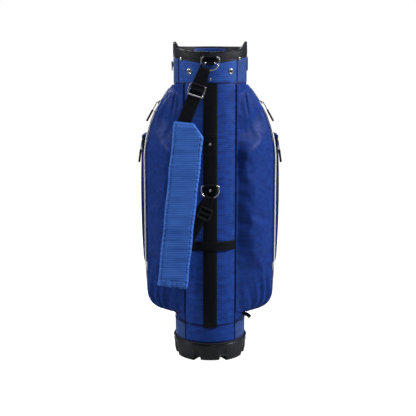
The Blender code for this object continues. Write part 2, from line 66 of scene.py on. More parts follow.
def polar(azimuth: Array, radius: Array, z: Array) -> Array:
    """Points at azimuths (degrees from the spine), radii and heights: (r sin a, -r cos a, z)."""
    a = np.radians(azimuth)
    a, radius, z = np.broadcast_arrays(a, radius, z)
    return np.stack([radius * np.sin(a), -radius * np.cos(a), z], axis=-1)


def facing(azimuth: Array) -> Array:
    """Level unit vectors that point away from the tube's axis."""
    return polar(azimuth, 1.0, 0.0)


def smooth(x: Array, low: float, high: float) -> Array:
    """Smoothstep: 0 below low, 1 above high, 3t^2 - 2t^3 between."""
    t = np.clip((x - low) / (high - low), 0, 1)
    return t * t * (3 - 2 * t)


def bump(x: Array, centre: float, width: float) -> Array:
    """A bell of height 1: exp(-((x - centre) / width)^2)."""
    return np.exp(-(((x - centre) / width) ** 2))


def ripple(u: Array, v: Array, seed: int, waves: int = 7, low: float = 1.0, high: float = 4.0) -> Array:
    """A soft uneven surface between -1 and 1: a sum of sine waves in seeded directions.

    Args:
        u: first coordinate, in units of about one wave.
        v: second coordinate.
        seed: picks the directions and phases.
        waves: how many sines are added.
        low: smallest frequency.
        high: largest frequency.

    Returns:
        An array of the coordinates' shape.
    """
    draw = np.random.default_rng(seed)
    total = np.zeros(np.broadcast(u, v).shape)
    for _ in range(waves):
        angle, phase, rate = draw.uniform(0, 2 * pi), draw.uniform(0, 2 * pi), draw.uniform(low, high)
        total += np.sin(rate * (u * cos(angle) + v * sin(angle)) + phase) / rate
    return total / np.abs(total).max()


def unit(vectors: Array) -> Array:
    """Vectors scaled to length 1."""
    return vectors / np.maximum(np.linalg.norm(vectors, axis=-1, keepdims=True), 1e-12)


def travelled(points: Array) -> Array:
    """Distance along a chain of points, starting at 0."""
    steps = np.linalg.norm(np.diff(points, axis=0), axis=-1)
    return np.concatenate([[0.0], np.cumsum(steps)])


def resampled(points: Array, count: int, closed: bool = False) -> Array:
    """Evenly spaced points along a chain, by linear interpolation on its length."""
    chain = np.vstack([points, points[:1]]) if closed else np.asarray(points, float)
    along = travelled(chain)
    wanted = np.linspace(0, along[-1], count + closed)[: count or None]
    return np.stack([np.interp(wanted, along, chain[:, k]) for k in range(chain.shape[1])], axis=-1)


def curved(points: list, count: int, closed: bool = False) -> Array:
    """A Catmull-Rom curve through points, evenly resampled.

    Each piece between two points is the usual cubic of its four nearest points.
    """
    p = np.asarray(points, float)
    if closed:
        p = np.vstack([p[-1], p, p[0], p[1]])
    else:
        p = np.vstack([2 * p[0] - p[1], p, 2 * p[-1] - p[-2]])
    t = np.linspace(0, 1, 9)[:-1][None, :, None]
    a, b, c, d = (p[i : len(p) - 3 + i, None, :] for i in range(4))
    cubic = 0.5 * (2 * b + (c - a) * t + (2 * a - 5 * b + 4 * c - d) * t**2 + (3 * b - a - 3 * c + d) * t**3)
    chain = cubic.reshape(-1, p.shape[1])
    if not closed:
        chain = np.vstack([chain, p[-2]])
    return resampled(chain, count, closed)


def arc(cx: float, cy: float, radius: float, start: float, end: float, count: int) -> Array:
    """Points on a circle between two angles in degrees."""
    a = np.radians(np.linspace(start, end, count))
    return np.stack([cx + radius * np.cos(a), cy + radius * np.sin(a)], axis=-1)


def rounded_box(width: float, height: float, corner: float, steps: int = 4) -> Array:
    """A closed rectangle outline with round corners, centred on 0."""
    w, h = width / 2 - corner, height / 2 - corner
    corners = ((w, h, 0), (-w, h, 90), (-w, -h, 180), (w, -h, 270))
    return np.vstack([arc(x, y, corner, a, a + 90, steps) for x, y, a in corners])


def circle(radius: float, count: int = 12) -> Array:
    """A closed round outline."""
    return arc(0, 0, radius, 0, 360 - 360 / count, count)


def outward(mesh: bpy.types.Mesh) -> None:
    """Turns a closed mesh's faces out if its signed volume is negative."""
    co = np.empty(len(mesh.vertices) * 3, np.float32)
    mesh.vertices.foreach_get("co", co)
    mesh.calc_loop_triangles()
    tri = np.empty(len(mesh.loop_triangles) * 3, np.int32)
    mesh.loop_triangles.foreach_get("vertices", tri)
    p = co.reshape(-1, 3)[tri.reshape(-1, 3)].astype(float)
    if np.einsum("ij,ij->i", p[:, 0], np.cross(p[:, 1], p[:, 2])).sum() < 0:
        mesh.flip_normals()


def made(name: str, points: Array, faces: Array, uv: Array | None = None) -> Piece:
    """Makes a smooth-shaded object from vertex and face arrays.

    Args:
        name: the piece's name.
        points: (n, 3) vertices.
        faces: (m, k) vertex indices, or a list of faces.
        uv: UV of every face corner, in metres, in the faces' order.

    Returns:
        The new object, at the origin.
    """
    mesh = bpy.data.meshes.new(name)
    mesh.from_pydata(np.asarray(points, float).tolist(), [], [list(f) for f in faces])
    if uv is not None:
        layer = mesh.uv_layers.new(name="metres")
        layer.data.foreach_set("uv", np.asarray(uv, np.float32).ravel())
    mesh.shade_smooth()
    outward(mesh)
    obj = bpy.data.objects.new(name, mesh)
    bpy.context.scene.collection.objects.link(obj)
    return obj


def surface(name: str, grid: Array, rows: bool = False, cols: bool = False, caps: bool = False) -> Piece:
    """A quad surface over a (rows, cols, 3) grid, with UVs equal to the lengths along it.

    Args:
        name: the piece's name.
        grid: the points.
        rows: joins the last row to the first.
        cols: joins the last column to the first.
        caps: closes the first and last row with one face each.

    Returns:
        The object.
    """
    m, n = grid.shape[:2]
    i, j = np.meshgrid(np.arange(m if rows else m - 1), np.arange(n if cols else n - 1), indexing="ij")
    i2, j2 = (i + 1) % m, (j + 1) % n
    quads = np.stack([i * n + j, i * n + j2, i2 * n + j2, i2 * n + j], -1).reshape(-1, 4)
    closed = np.concatenate([grid, grid[:1]], 0)
    closed = np.concatenate([closed, closed[:, :1]], 1)
    along = np.concatenate([[0], np.cumsum(np.linalg.norm(np.diff(closed, axis=0), axis=-1).mean(1))])
    across = np.concatenate([[0], np.cumsum(np.linalg.norm(np.diff(closed, axis=1), axis=-1).mean(0))])
    corners_u = np.stack([along[i], along[i], along[i + 1], along[i + 1]], -1)
    corners_v = np.stack([across[j], across[j + 1], across[j + 1], across[j]], -1)
    uv = np.stack([corners_u, corners_v], -1).reshape(-1, 2)
    faces = quads.tolist()
    if caps:
        faces += [list(range(n)), list(range((m - 1) * n, m * n))[::-1]]
        uv = np.vstack([uv, np.zeros((2 * n, 2))])
    return made(name, grid.reshape(-1, 3), faces, uv)


def welded(obj: Piece, distance: float = 1e-6) -> Piece:
    """Merges doubled points, such as those at a pole, and turns the faces out."""
    bm = bmesh.new()
    bm.from_mesh(obj.data)
    bmesh.ops.remove_doubles(bm, verts=bm.verts, dist=distance)
    bmesh.ops.recalc_face_normals(bm, faces=bm.faces)
    bm.to_mesh(obj.data)
    bm.free()
    outward(obj.data)
    obj.data.shade_smooth()
    return obj


def ring(name: str, profile: Array, azimuths: Array) -> Piece:
    """Carries a closed (radius, z) profile round the tube's axis.

    Args:
        name: the piece's name.
        profile: (k, 2), or (azimuths, k, 2) where it changes on the way round.
        azimuths: degrees; a full turn when they span 360, else an arc with capped ends.

    Returns:
        The object.
    """
    profile = np.broadcast_to(profile, (len(azimuths), *profile.shape[-2:]))
    grid = polar(azimuths[:, None], profile[..., 0], profile[..., 1])
    whole = abs((azimuths[-1] - azimuths[0]) + (azimuths[1] - azimuths[0]) - 360) < 1e-6
    return surface(name, grid, rows=whole, cols=True, caps=not whole)


def full_turn(count: int) -> Array:
    """Azimuths of a whole turn, the last one a step short of 360."""
    return np.arange(count) * 360 / count


def wall(low: float, high: float, z0: float, z1: float, rows: int = 2) -> Array:
    """A closed band profile between two radii; its outer side has the given number of rows."""
    z = np.linspace(z0, z1, rows)
    outer = np.stack([np.full(rows, high), z], -1)
    return np.vstack([outer, [[low, z1], [low, z0]]])


def swept(name: str, path: Array, section: Array, out: Array, closed: bool = False) -> Piece:
    """Carries a closed section along a path.

    The section's first coordinate lies across the path and its second along out, made square to
    the path: point = path + s * (out x tangent) + t * out.

    Args:
        name: the piece's name.
        path: (n, 3) points.
        section: (k, 2) outline, or (n, k, 2).
        out: one direction, or (n, 3), that the section's second axis leans to.
        closed: joins the path's ends.

    Returns:
        The object.
    """
    if closed:
        tangent = unit(np.roll(path, -1, 0) - np.roll(path, 1, 0))
    else:
        tangent = unit(np.gradient(path, axis=0))
    out = np.broadcast_to(np.asarray(out, float), path.shape)
    out = unit(out - tangent * np.einsum("ij,ij->i", out, tangent)[:, None])
    side = np.cross(out, tangent)
    section = np.broadcast_to(section, (len(path), *section.shape[-2:]))
    grid = path[:, None] + section[..., :1] * side[:, None] + section[..., 1:] * out[:, None]
    return surface(name, grid, rows=closed, cols=True, caps=not closed)


def joined(name: str, pieces: list) -> Piece:
    """Joins objects of one finish into one, keeping their UVs."""
    first = pieces[0]
    with bpy.context.temp_override(active_object=first, selected_editable_objects=pieces, object=first):
        bpy.ops.object.join()
    first.name = first.data.name = name
    return first


def stitches(name: str, path: Array, out: Array, pitch: float = 0.0042, size: float = 0.0009) -> Piece:
    """A row of thread stitches: each is a stretched octahedron lying along the path.

    Args:
        name: the piece's name.
        path: (n, 3) points of the seam.
        out: (n, 3), or one direction, that the thread stands out to.
        pitch: distance from stitch to stitch.
        size: width of a stitch.

    Returns:
        The object, six points and eight faces a stitch.
    """
    length = travelled(path)[-1]
    count = max(2, int(length / pitch))
    places = resampled(path, count)
    tangent = unit(np.gradient(places, axis=0))
    outs = np.broadcast_to(np.asarray(out, float), path.shape)
    outs = unit(np.stack([np.interp(np.linspace(0, 1, count), np.linspace(0, 1, len(path)),
        outs[:, k]) for k in range(3)], -1))
    side = np.cross(outs, tangent)
    half = pitch * 0.36
    ends = [tangent * half, -tangent * half, side * size / 2, -side * size / 2, outs * size * 0.6,
        -outs * size * 0.6]
    points = np.stack([places + e for e in ends], 1).reshape(-1, 3)
    one = np.array([[0, 2, 4], [2, 1, 4], [1, 3, 4], [3, 0, 4], [2, 0, 5], [1, 2, 5], [3, 1, 5], [0, 3, 5]])
    faces = (one[None] + 6 * np.arange(count)[:, None, None]).reshape(-1, 3)
    return made(name, points, faces)


def subdivided(obj: Piece, levels: int = 1) -> Piece:
    """Adds a Subdivision Surface that renders as it shows."""
    modifier = obj.modifiers.new("smoothing", "SUBSURF")
    modifier.levels = modifier.render_levels = levels
    return obj


def puffed(obj: Piece, held: Array, pressure: float, grow: float, cap: float, frames: int = 20) -> None:
    """Runs cloth on a closed shape and keeps the result, so that panels fill out and wrinkle.

    Args:
        obj: the piece, whose mesh is replaced by the simulated one.
        held: a pin weight for every vertex, 1 where it can't move.
        pressure: pressure inside.
        grow: share by which the fabric is longer than its frame, which makes it wrinkle.
        cap: furthest that a vertex may move.
        frames: steps of the simulation.
    """
    mesh = obj.data
    group = obj.vertex_groups.new(name="held")
    levels = np.round(np.clip(held, 0, 1) * 10).astype(int)
    for level in np.unique(levels[levels > 0]):
        group.add(np.flatnonzero(levels == level).tolist(), level / 10, "REPLACE")
    before = np.empty(len(mesh.vertices) * 3, np.float32)
    mesh.vertices.foreach_get("co", before)
    cloth = obj.modifiers.new("cloth", "CLOTH")
    setting = cloth.settings
    setting.vertex_group_mass = "held"
    setting.use_pressure = True
    setting.uniform_pressure_force = pressure
    setting.shrink_min = -grow
    setting.quality = 5
    setting.mass = 0.25
    setting.tension_stiffness = setting.compression_stiffness = 25
    setting.shear_stiffness = 12
    setting.bending_stiffness = 4.0
    setting.air_damping = 4
    setting.effector_weights.gravity = 0
    cloth.collision_settings.use_collision = False
    cloth.point_cache.frame_end = frames
    scene = bpy.context.scene
    for frame in range(1, frames + 1):
        scene.frame_set(frame)
    graph = bpy.context.evaluated_depsgraph_get()
    evaluated = obj.evaluated_get(graph).to_mesh()
    after = np.empty_like(before)
    evaluated.vertices.foreach_get("co", after)
    obj.evaluated_get(graph).to_mesh_clear()
    move = (after - before).reshape(-1, 3)
    far = np.linalg.norm(move, axis=1, keepdims=True)
    move *= np.minimum(1, cap / np.maximum(far, 1e-9)) * (far < 10)
    obj.modifiers.remove(cloth)
    obj.vertex_groups.clear()
    mesh.vertices.foreach_set("co", (before.reshape(-1, 3) + move).ravel())
    mesh.update()
    scene.frame_set(1)
    LOG.info("%s: cloth moved it by up to %.1f mm", obj.name, 1000 * float(np.minimum(far, cap).max()))


# --- finishes ----------------------------------------------------------------------------------


def srgb(red: int, green: int, blue: int) -> tuple:
    """A colour of 0 to 255 values as linear RGBA."""
    c = np.array([red, green, blue]) / 255
    linear = np.where(c <= 0.04045, c / 12.92, ((c + 0.055) / 1.055) ** 2.4)
    return (*linear.tolist(), 1.0)


class Tree:
    """A short way to write a node tree."""

    def __init__(self, tree: bpy.types.NodeTree) -> None:
        """Keeps the tree."""
        self.tree = tree

    def add(self, kind: str, inputs: dict | None = None, **settings: object) -> bpy.types.Node:
        """Adds a node.

        Args:
            kind: the node's type without its ShaderNode prefix, or a group's name.
            inputs: socket name or index to a value, or to an output socket to link.
            **settings: the node's properties.

        Returns:
            The node.
        """
        if kind in bpy.data.node_groups:
            node = self.tree.nodes.new("ShaderNodeGroup")
            node.node_tree = bpy.data.node_groups[kind]
        else:
            node = self.tree.nodes.new("ShaderNode" + kind)
        for key, value in settings.items():
            setattr(node, key, value)
        for key, value in (inputs or {}).items():
            if isinstance(value, bpy.types.NodeSocket):
                self.tree.links.new(value, node.inputs[key])
            else:
                node.inputs[key].default_value = value
        return node

    def feed(self, node: bpy.types.Node, socket: str, value: bpy.types.NodeSocket) -> None:
        """Links an output to a node's input."""
        self.tree.links.new(value, node.inputs[socket])

    def maths(self, operation: str, *values: object, clamp: bool = False) -> bpy.types.NodeSocket:
        """The result of a Math node on numbers or sockets."""
        return self.add("Math", dict(enumerate(values)), operation=operation, use_clamp=clamp).outputs[0]

    def mix(self, factor: object, first: object, second: object) -> bpy.types.NodeSocket:
        """A colour between two colours."""
        return self.add("Mix", {0: factor, 6: first, 7: second}, data_type="RGBA").outputs[2]

    def ramp(self, value: object, low: float, high: float, to_low: float = 0.0,
            to_high: float = 1.0) -> bpy.types.NodeSocket:
        """A value mapped from one range to another, held at the ends."""
        node = self.add("MapRange", {0: value, 1: low, 2: high, 3: to_low, 4: to_high})
        return node.outputs[0]


def new_group(name: str, inputs: dict, outputs: list) -> tuple:
    """Makes a shader node group.

    Args:
        name: the group's name.
        inputs: socket name to a default number, or to "VECTOR".
        outputs: names of its float outputs.

    Returns:
        The group's Tree, its input node and its output node.
    """
    group = bpy.data.node_groups.new(name, "ShaderNodeTree")
    for key, value in inputs.items():
        kind = "NodeSocketVector" if value == "VECTOR" else "NodeSocketFloat"
        socket = group.interface.new_socket(key, in_out="INPUT", socket_type=kind)
        if value != "VECTOR":
            socket.default_value = value
    for key in outputs:
        group.interface.new_socket(key, in_out="OUTPUT", socket_type="NodeSocketFloat")
    source = group.nodes.new("NodeGroupInput")
    sink = group.nodes.new("NodeGroupOutput")
    return Tree(group), source, sink


def build_weave_group() -> None:
    """Weave: threads that cross, with stronger ribs along one axis and slubs in the yarn.

    Height is |sin| of the two thread counts, ribs a raised cosine along Y, and Streak a stretched
    noise that darkens single yarns.
    """
    tree, source, sink = new_group(
        "weave",
        {"Vector": "VECTOR", "Rib pitch": 0.003, "Thread pitch": 0.0008, "Rib depth": 0.7, "Streaks": 90.0},
        ["Height", "Rib", "Streak"],
    )
    split = tree.add("SeparateXYZ", {0: source.outputs["Vector"]})
    x, y = split.outputs[0], split.outputs[1]
    thread = tree.maths("DIVIDE", pi, source.outputs["Thread pitch"])
    warp = tree.maths("ABSOLUTE", tree.maths("SINE", tree.maths("MULTIPLY", x, thread)))
    weft = tree.maths("ABSOLUTE", tree.maths("COSINE", tree.maths("MULTIPLY", y, thread)))
    wander = tree.add("TexNoise", {"Vector": source.outputs["Vector"], "Scale": 22.0, "Detail": 3.0})
    drift = tree.maths("MULTIPLY", wander.outputs[0], 0.0022)
    turns = tree.maths("DIVIDE", tree.maths("ADD", y, drift), source.outputs["Rib pitch"])
    wave = tree.maths("COSINE", tree.maths("MULTIPLY", turns, 2 * pi))
    rib = tree.maths("MULTIPLY_ADD", wave, 0.5, 0.5)
    stretched = tree.add("VectorMath", {0: source.outputs["Vector"], 1: (0.09, 1.0, 1.0)},
        operation="MULTIPLY")
    streak = tree.add("TexNoise", {"Vector": stretched.outputs[0], "Scale": source.outputs["Streaks"],
        "Detail": 4.0})
    cloth = tree.maths("MULTIPLY", tree.maths("ADD", warp, weft), 0.5)
    depth = source.outputs["Rib depth"]
    ribbed = tree.maths("ADD", tree.maths("MULTIPLY", rib, depth),
        tree.maths("MULTIPLY", cloth, tree.maths("SUBTRACT", 1.0, depth)))
    tree.feed(sink, "Height", ribbed)
    tree.feed(sink, "Rib", rib)
    tree.feed(sink, "Streak", streak.outputs[0])


def build_wear_group() -> None:
    """Wear: rubbed edges from Pointiness, and broad uneven dust from noise."""
    tree, source, sink = new_group("wear", {"Vector": "VECTOR", "Scale": 14.0}, ["Edges", "Dust"])
    point = tree.add("NewGeometry").outputs["Pointiness"]
    noise = tree.add("TexNoise", {"Vector": source.outputs["Vector"], "Scale": source.outputs["Scale"],
        "Detail": 5.0})
    edge = tree.ramp(point, 0.52, 0.60)
    broken = tree.maths("MULTIPLY", edge, tree.ramp(noise.outputs[0], 0.40, 0.62))
    tree.feed(sink, "Edges", broken)
    tree.feed(sink, "Dust", noise.outputs[0])


def start_material(name: str) -> tuple:
    """An empty Principled material.

    Returns:
        The material, its Tree and its Principled node.
    """
    material = bpy.data.materials.new(name)
    material.use_nodes = True
    return material, Tree(material.node_tree), material.node_tree.nodes["Principled BSDF"]


class Lay(Enum):
    """Which coordinates a cloth's pattern follows."""

    SURFACE = "UV"
    SPACE = "Object"


@dataclass(frozen=True)
class Cloth:
    """Woven cloth: ribs or plain threads, yarn streaks, sheen and a bump that follows them."""

    name: str
    light: tuple
    dark: tuple
    rib_pitch: float = 0.0056
    thread_pitch: float = 0.0008
    rib_depth: float = 0.75
    contrast: float = 0.5
    roughness: float = 0.55
    sheen: float = 0.06
    gloss: float = 0.22
    bump: float = 0.35
    relief: float = 0.0006
    lay: Lay = Lay.SPACE
    turn: tuple = (0.0, 0.0, 0.0)

    def build(self) -> bpy.types.Material:
        """Makes the material.

        Returns:
            The material. Its pattern's second axis is the one that the ribs repeat along.
        """
        material, tree, shader = start_material(self.name)
        where = tree.add("TexCoord").outputs[self.lay.value]
        turned = tree.add("Mapping", {"Vector": where, "Rotation": self.turn})
        weave = tree.add("weave", {"Vector": turned.outputs[0], "Rib pitch": self.rib_pitch,
            "Thread pitch": self.thread_pitch, "Rib depth": self.rib_depth})
        wear = tree.add("wear", {"Vector": tree.add("TexCoord").outputs["Object"], "Scale": 11.0})
        yarn = tree.ramp(weave.outputs["Streak"], 0.30, 0.72)
        depth = tree.maths("MULTIPLY_ADD", weave.outputs["Height"], self.contrast,
            tree.maths("MULTIPLY", yarn, 1 - self.contrast))
        cloud = tree.ramp(wear.outputs["Dust"], 0.25, 0.75, -0.10, 0.10)
        shade = tree.maths("ADD", depth, cloud, clamp=True)
        colour = tree.mix(shade, self.dark, self.light)
        tree.feed(shader, "Base Color", colour)
        rough = tree.ramp(weave.outputs["Streak"], 0.2, 0.8, self.roughness + 0.07, self.roughness - 0.07)
        tree.feed(shader, "Roughness", rough)
        height = tree.maths("MULTIPLY_ADD", weave.outputs["Streak"], 0.35, weave.outputs["Height"])
        lift = tree.add("Bump", {"Strength": self.bump, "Distance": self.relief, "Height": height})
        tree.feed(shader, "Normal", lift.outputs[0])
        shader.inputs["Specular IOR Level"].default_value = self.gloss
        shader.inputs["Sheen Weight"].default_value = self.sheen
        shader.inputs["Sheen Roughness"].default_value = 0.4
        shader.inputs["Sheen Tint"].default_value = (0.45, 0.62, 1.0, 1.0)
        return material


@dataclass(frozen=True)
class Moulding:
    """Moulded plastic or rubber: a fine grain, rubbed edges and a little dust."""

    name: str
    colour: tuple
    rubbed: tuple
    roughness: float = 0.42
    grain: float = 900.0
    bump: float = 0.12
    gloss: float = 0.3

    def build(self) -> bpy.types.Material:
        """Makes the material."""
        material, tree, shader = start_material(self.name)
        where = tree.add("TexCoord").outputs["Object"]
        wear = tree.add("wear", {"Vector": where, "Scale": 18.0})
        base = tree.mix(tree.ramp(wear.outputs["Dust"], 0.3, 0.75, 0.0, 0.35), self.colour, self.rubbed)
        tree.feed(shader, "Base Color", tree.mix(wear.outputs["Edges"], base, self.rubbed))
        rough = tree.ramp(wear.outputs["Dust"], 0.2, 0.8, self.roughness - 0.08, self.roughness + 0.1)
        tree.feed(shader, "Roughness", rough)
        shader.inputs["Specular IOR Level"].default_value = self.gloss
        grain = tree.add("TexVoronoi", {"Vector": where, "Scale": self.grain})
        lift = tree.add("Bump", {"Strength": self.bump, "Distance": 0.0003, "Height": grain.outputs[0]})
        tree.feed(shader, "Normal", lift.outputs[0])
        return material


@dataclass(frozen=True)
class Plating:
    """Bright plated metal, with faint scratches in its gloss."""

    name: str
    colour: tuple
    roughness: float = 0.16

    def build(self) -> bpy.types.Material:
        """Makes the material."""
        material, tree, shader = start_material(self.name)
        shader.inputs["Metallic"].default_value = 1.0
        where = tree.add("TexCoord").outputs["Object"]
        stretched = tree.add("Mapping", {"Vector": where, "Scale": (1.0, 1.0, 6.0)})
        scratch = tree.add("TexNoise", {"Vector": stretched.outputs[0], "Scale": 420.0, "Detail": 5.0})
        cloud = tree.add("TexNoise", {"Vector": where, "Scale": 60.0, "Detail": 2.0})
        dull = tuple(0.72 * c for c in self.colour[:3]) + (1.0,)
        tree.feed(shader, "Base Color", tree.mix(tree.ramp(cloud.outputs[0], 0.45, 0.8), self.colour, dull))
        rough = tree.ramp(scratch.outputs[0], 0.3, 0.8, self.roughness - 0.05, self.roughness + 0.18)
        tree.feed(shader, "Roughness", rough)
        return material


@dataclass(frozen=True)
class Finishes:
    """Every material of the bag, by the name of its use."""

    made: dict = field(default_factory=dict)

    def build(self) -> None:
        """Makes the node groups and the materials."""
        build_weave_group()
        build_wear_group()
        upright = (pi / 2, 0.0, 0.0)
        black, black_light = srgb(2, 3, 6), srgb(16, 19, 28)
        cloths = [
            Cloth("ribbed_panel", srgb(36, 76, 168), srgb(11, 33, 94), turn=upright, rib_pitch=0.0052,
                contrast=0.52, gloss=0.12),
            Cloth("ribbed_cuff", srgb(50, 92, 180), srgb(24, 54, 124), turn=upright, rib_pitch=0.0052,
                contrast=0.48, gloss=0.12),
            Cloth("ribbed_pad", srgb(78, 130, 226), srgb(40, 82, 166), turn=(pi / 2, radians(-6.1), 0.0),
                rib_pitch=0.0052, contrast=0.48, gloss=0.12),
            Cloth("coated_nylon", srgb(26, 58, 134), srgb(15, 40, 104), rib_depth=0.1, thread_pitch=0.0006,
                contrast=0.3, roughness=0.54, gloss=0.10, sheen=0.02, bump=0.12, relief=0.0003, turn=upright),
            Cloth("side_fabric", srgb(52, 80, 144), srgb(34, 56, 112), rib_depth=0.2, thread_pitch=0.0009,
                contrast=0.35, roughness=0.46, bump=0.2, turn=upright),
            Cloth("webbing", black_light, black, rib_pitch=0.0042, thread_pitch=0.0011, rib_depth=0.55,
                contrast=0.7, roughness=0.68, sheen=0.02, gloss=0.12, bump=0.5, lay=Lay.SURFACE),
            Cloth("binding", srgb(21, 24, 34), srgb(7, 9, 14), rib_pitch=0.0012, thread_pitch=0.0007,
                rib_depth=0.5, roughness=0.5, sheen=0.03, gloss=0.25, bump=0.4, turn=upright),
            Cloth("lining", srgb(40, 76, 156), srgb(20, 44, 108), rib_depth=0.15, contrast=0.4, roughness=0.5,
                turn=upright),
            Cloth("divider_fleece", srgb(30, 32, 38), srgb(10, 11, 15), rib_depth=0.1, thread_pitch=0.0014,
                contrast=0.4, roughness=0.85, sheen=0.15, bump=0.5),
            Cloth("blue_thread", srgb(48, 82, 158), srgb(22, 44, 100), rib_depth=0.2, roughness=0.5),
            Cloth("navy_thread", srgb(24, 44, 98), srgb(10, 20, 52), rib_depth=0.2, roughness=0.5),
            Cloth("seam_cord", srgb(22, 40, 92), srgb(9, 18, 46), rib_pitch=0.0012, thread_pitch=0.0007,
                roughness=0.5, turn=upright),
            Cloth("zip_tape_blue", srgb(34, 60, 130), srgb(18, 36, 88), rib_pitch=0.0010, thread_pitch=0.0006,
                roughness=0.6, turn=upright),
            Cloth("black_thread", srgb(28, 30, 38), srgb(8, 9, 13), rib_depth=0.2, roughness=0.5),
        ]
        mouldings = [
            Moulding("base_plastic", srgb(4, 7, 16), srgb(24, 30, 46), roughness=0.30, gloss=0.5),
            Moulding("black_plastic", srgb(7, 8, 11), srgb(34, 36, 42), roughness=0.34),
            Moulding("pull_rubber", srgb(8, 9, 12), srgb(30, 32, 37), roughness=0.42),
            Moulding("shell_plastic", srgb(52, 54, 60), srgb(80, 82, 88), roughness=0.5),
            Moulding("white_piping", srgb(244, 244, 246), srgb(226, 227, 232), roughness=0.34, grain=1400.0,
                bump=0.06),
        ]
        plating = Plating("nickel", srgb(214, 216, 222))
        for finish in [*cloths, *mouldings, plating]:
            self.made[finish.name] = finish.build()


@dataclass
class Dresser:
    """Gives each piece its material, body and the CAD nodes that it stands for."""

    finishes: Finishes
    count: int = 0

    def dress(self, piece: Piece, finish: str, slot: str, body: str = "bag", stands_for: tuple = ()) -> Piece:
        """Dresses one piece.

        Args:
            piece: the finished object.
            finish: name of its material.
            slot: the record's material slot; not used.
            body: the body it moves with.
            stands_for: CAD nodes that it replaces.

        Returns:
            The piece.
        """
        piece.data.materials.clear()
        piece.data.materials.append(self.finishes.made[finish])
        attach(piece, body)
        if stands_for:
            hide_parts(*stands_for)
        self.count += 1
        LOG.info("%s: %d points, rides on %s", piece.name, len(piece.data.vertices), body)
        return piece


# --- base, tube and cuff -----------------------------------------------------------------------


@dataclass
class Base:
    """The moulded cup: four treaded feet, arches between them, a panelled wall and a corded edge."""

    dresser: Dresser
    lift: float = 0.007
    foot: tuple = (27.0, 63.0)
    lug: float = 4.5

    def foothold(self, azimuth: Array) -> Array:
        """1 on a foot and 0 between feet, with short ramps."""
        folded = np.minimum(azimuth % 180, 180 - azimuth % 180)
        return smooth(folded, self.foot[0] - 1.6,
            self.foot[0]) * (1 - smooth(folded, self.foot[1], self.foot[1] + 1.6))

    def apron(self, azimuth: Array) -> Array:
        """1 on the four plain panels midway between feet, which hang lower than the arches."""
        off = np.abs((azimuth + 45) % 90 - 45)
        return 1 - smooth(off, 15.0, 16.6)

    def build(self) -> None:
        """Makes the cup and its cord.

        The cup is one closed profile carried round the axis. Its bottom edge rises by the lift
        between feet. The wall is inset by 1.6 mm in the arches, and the feet carry upright ribs
        and notched lugs, both cosines of the azimuth.
        """
        azimuths = full_turn(480)
        foot = self.foothold(azimuths)[:, None]
        apron = self.apron(azimuths)[:, None]
        off_foot, on_apron = 1 - foot[:, 0], apron[:, 0]
        z = self.lift * off_foot + 0.0050 * off_foot * (1 - on_apron) - 0.0030 * on_apron
        wave = np.cos(2 * pi * (azimuths - self.foot[0]) / self.lug)
        notch = 0.0012 * foot[:, 0] * smooth(wave, 0.35, 0.75)
        z_wall = np.array([0.0022, 0.0065, 0.0100, 0.0120, 0.0150, 0.0240, 0.0335, 0.0365, 0.0385, 0.0400,
            0.0460, 0.0505])
        r_wall = np.interp(z_wall, [0.0022, 0.012, 0.04, 0.0505], [0.1044, 0.1062, 0.1082, 0.1085])
        low = smooth(z_wall, 0.010, 0.013) * (1 - smooth(z_wall, 0.035, 0.039))
        inset = 0.0022 * (1 - foot) * (1 - apron) * low[None]
        ribs = 0.0006 * foot * low[None] * smooth(wave, -0.2, 0.4)[:, None]
        bead = 0.0010 * bump(z_wall, 0.0395, 0.0016)[None]
        wall_z = z_wall[None] + (z + notch)[:, None] * (1 - smooth(z_wall, 0.004, 0.020))[None]
        outer = np.stack([r_wall[None] - inset + ribs + bead, wall_z], -1)
        n = len(azimuths)

        def rim(points: list) -> Array:
            """The same profile points at every azimuth."""
            return np.broadcast_to(np.array(points), (n, len(points), 2))

        under = np.stack([np.stack([np.full(n, r), z + notch * share], -1) for r,
            share in ((0.0720, 0), (0.0960, 1), (0.1025, 1))], 1)
        bottom = rim([[AXIS, 0.0], [0.029, 0.0], [0.0305, 0.001], [0.032, self.lift], [0.070, self.lift]])
        top = rim([[0.1079, 0.0519], [0.1045, 0.052], [0.1038, 0.0515], [0.1038, 0.0162], [0.1005, 0.016],
            [0.100, 0.011], [0.050, 0.011], [AXIS, 0.011]])
        cup = welded(ring("moulded_base", np.concatenate([bottom, under, outer, top], 1), azimuths), 2e-5)
        self.dresser.dress(cup, "base_plastic", "moulded_black", stands_for=("base_cup",))
        angle = np.linspace(0, 2 * pi, 13)[:-1]
        cord = np.stack([0.1075 + 0.0027 * np.cos(angle), 0.055 + 0.0027 * np.sin(angle)], -1)
        self.dresser.dress(ring("base_cord", cord, full_turn(180)), "binding", "webbing_black",
            stands_for=("base_binding",))
        edge = polar(np.linspace(0, 360, 181), 0.1056, 0.0622)
        thread = stitches("base_stitches", edge, polar(np.linspace(0, 360, 181), 1.0, 0.0), 0.005)
        self.dresser.dress(thread, "black_thread", "webbing_black")


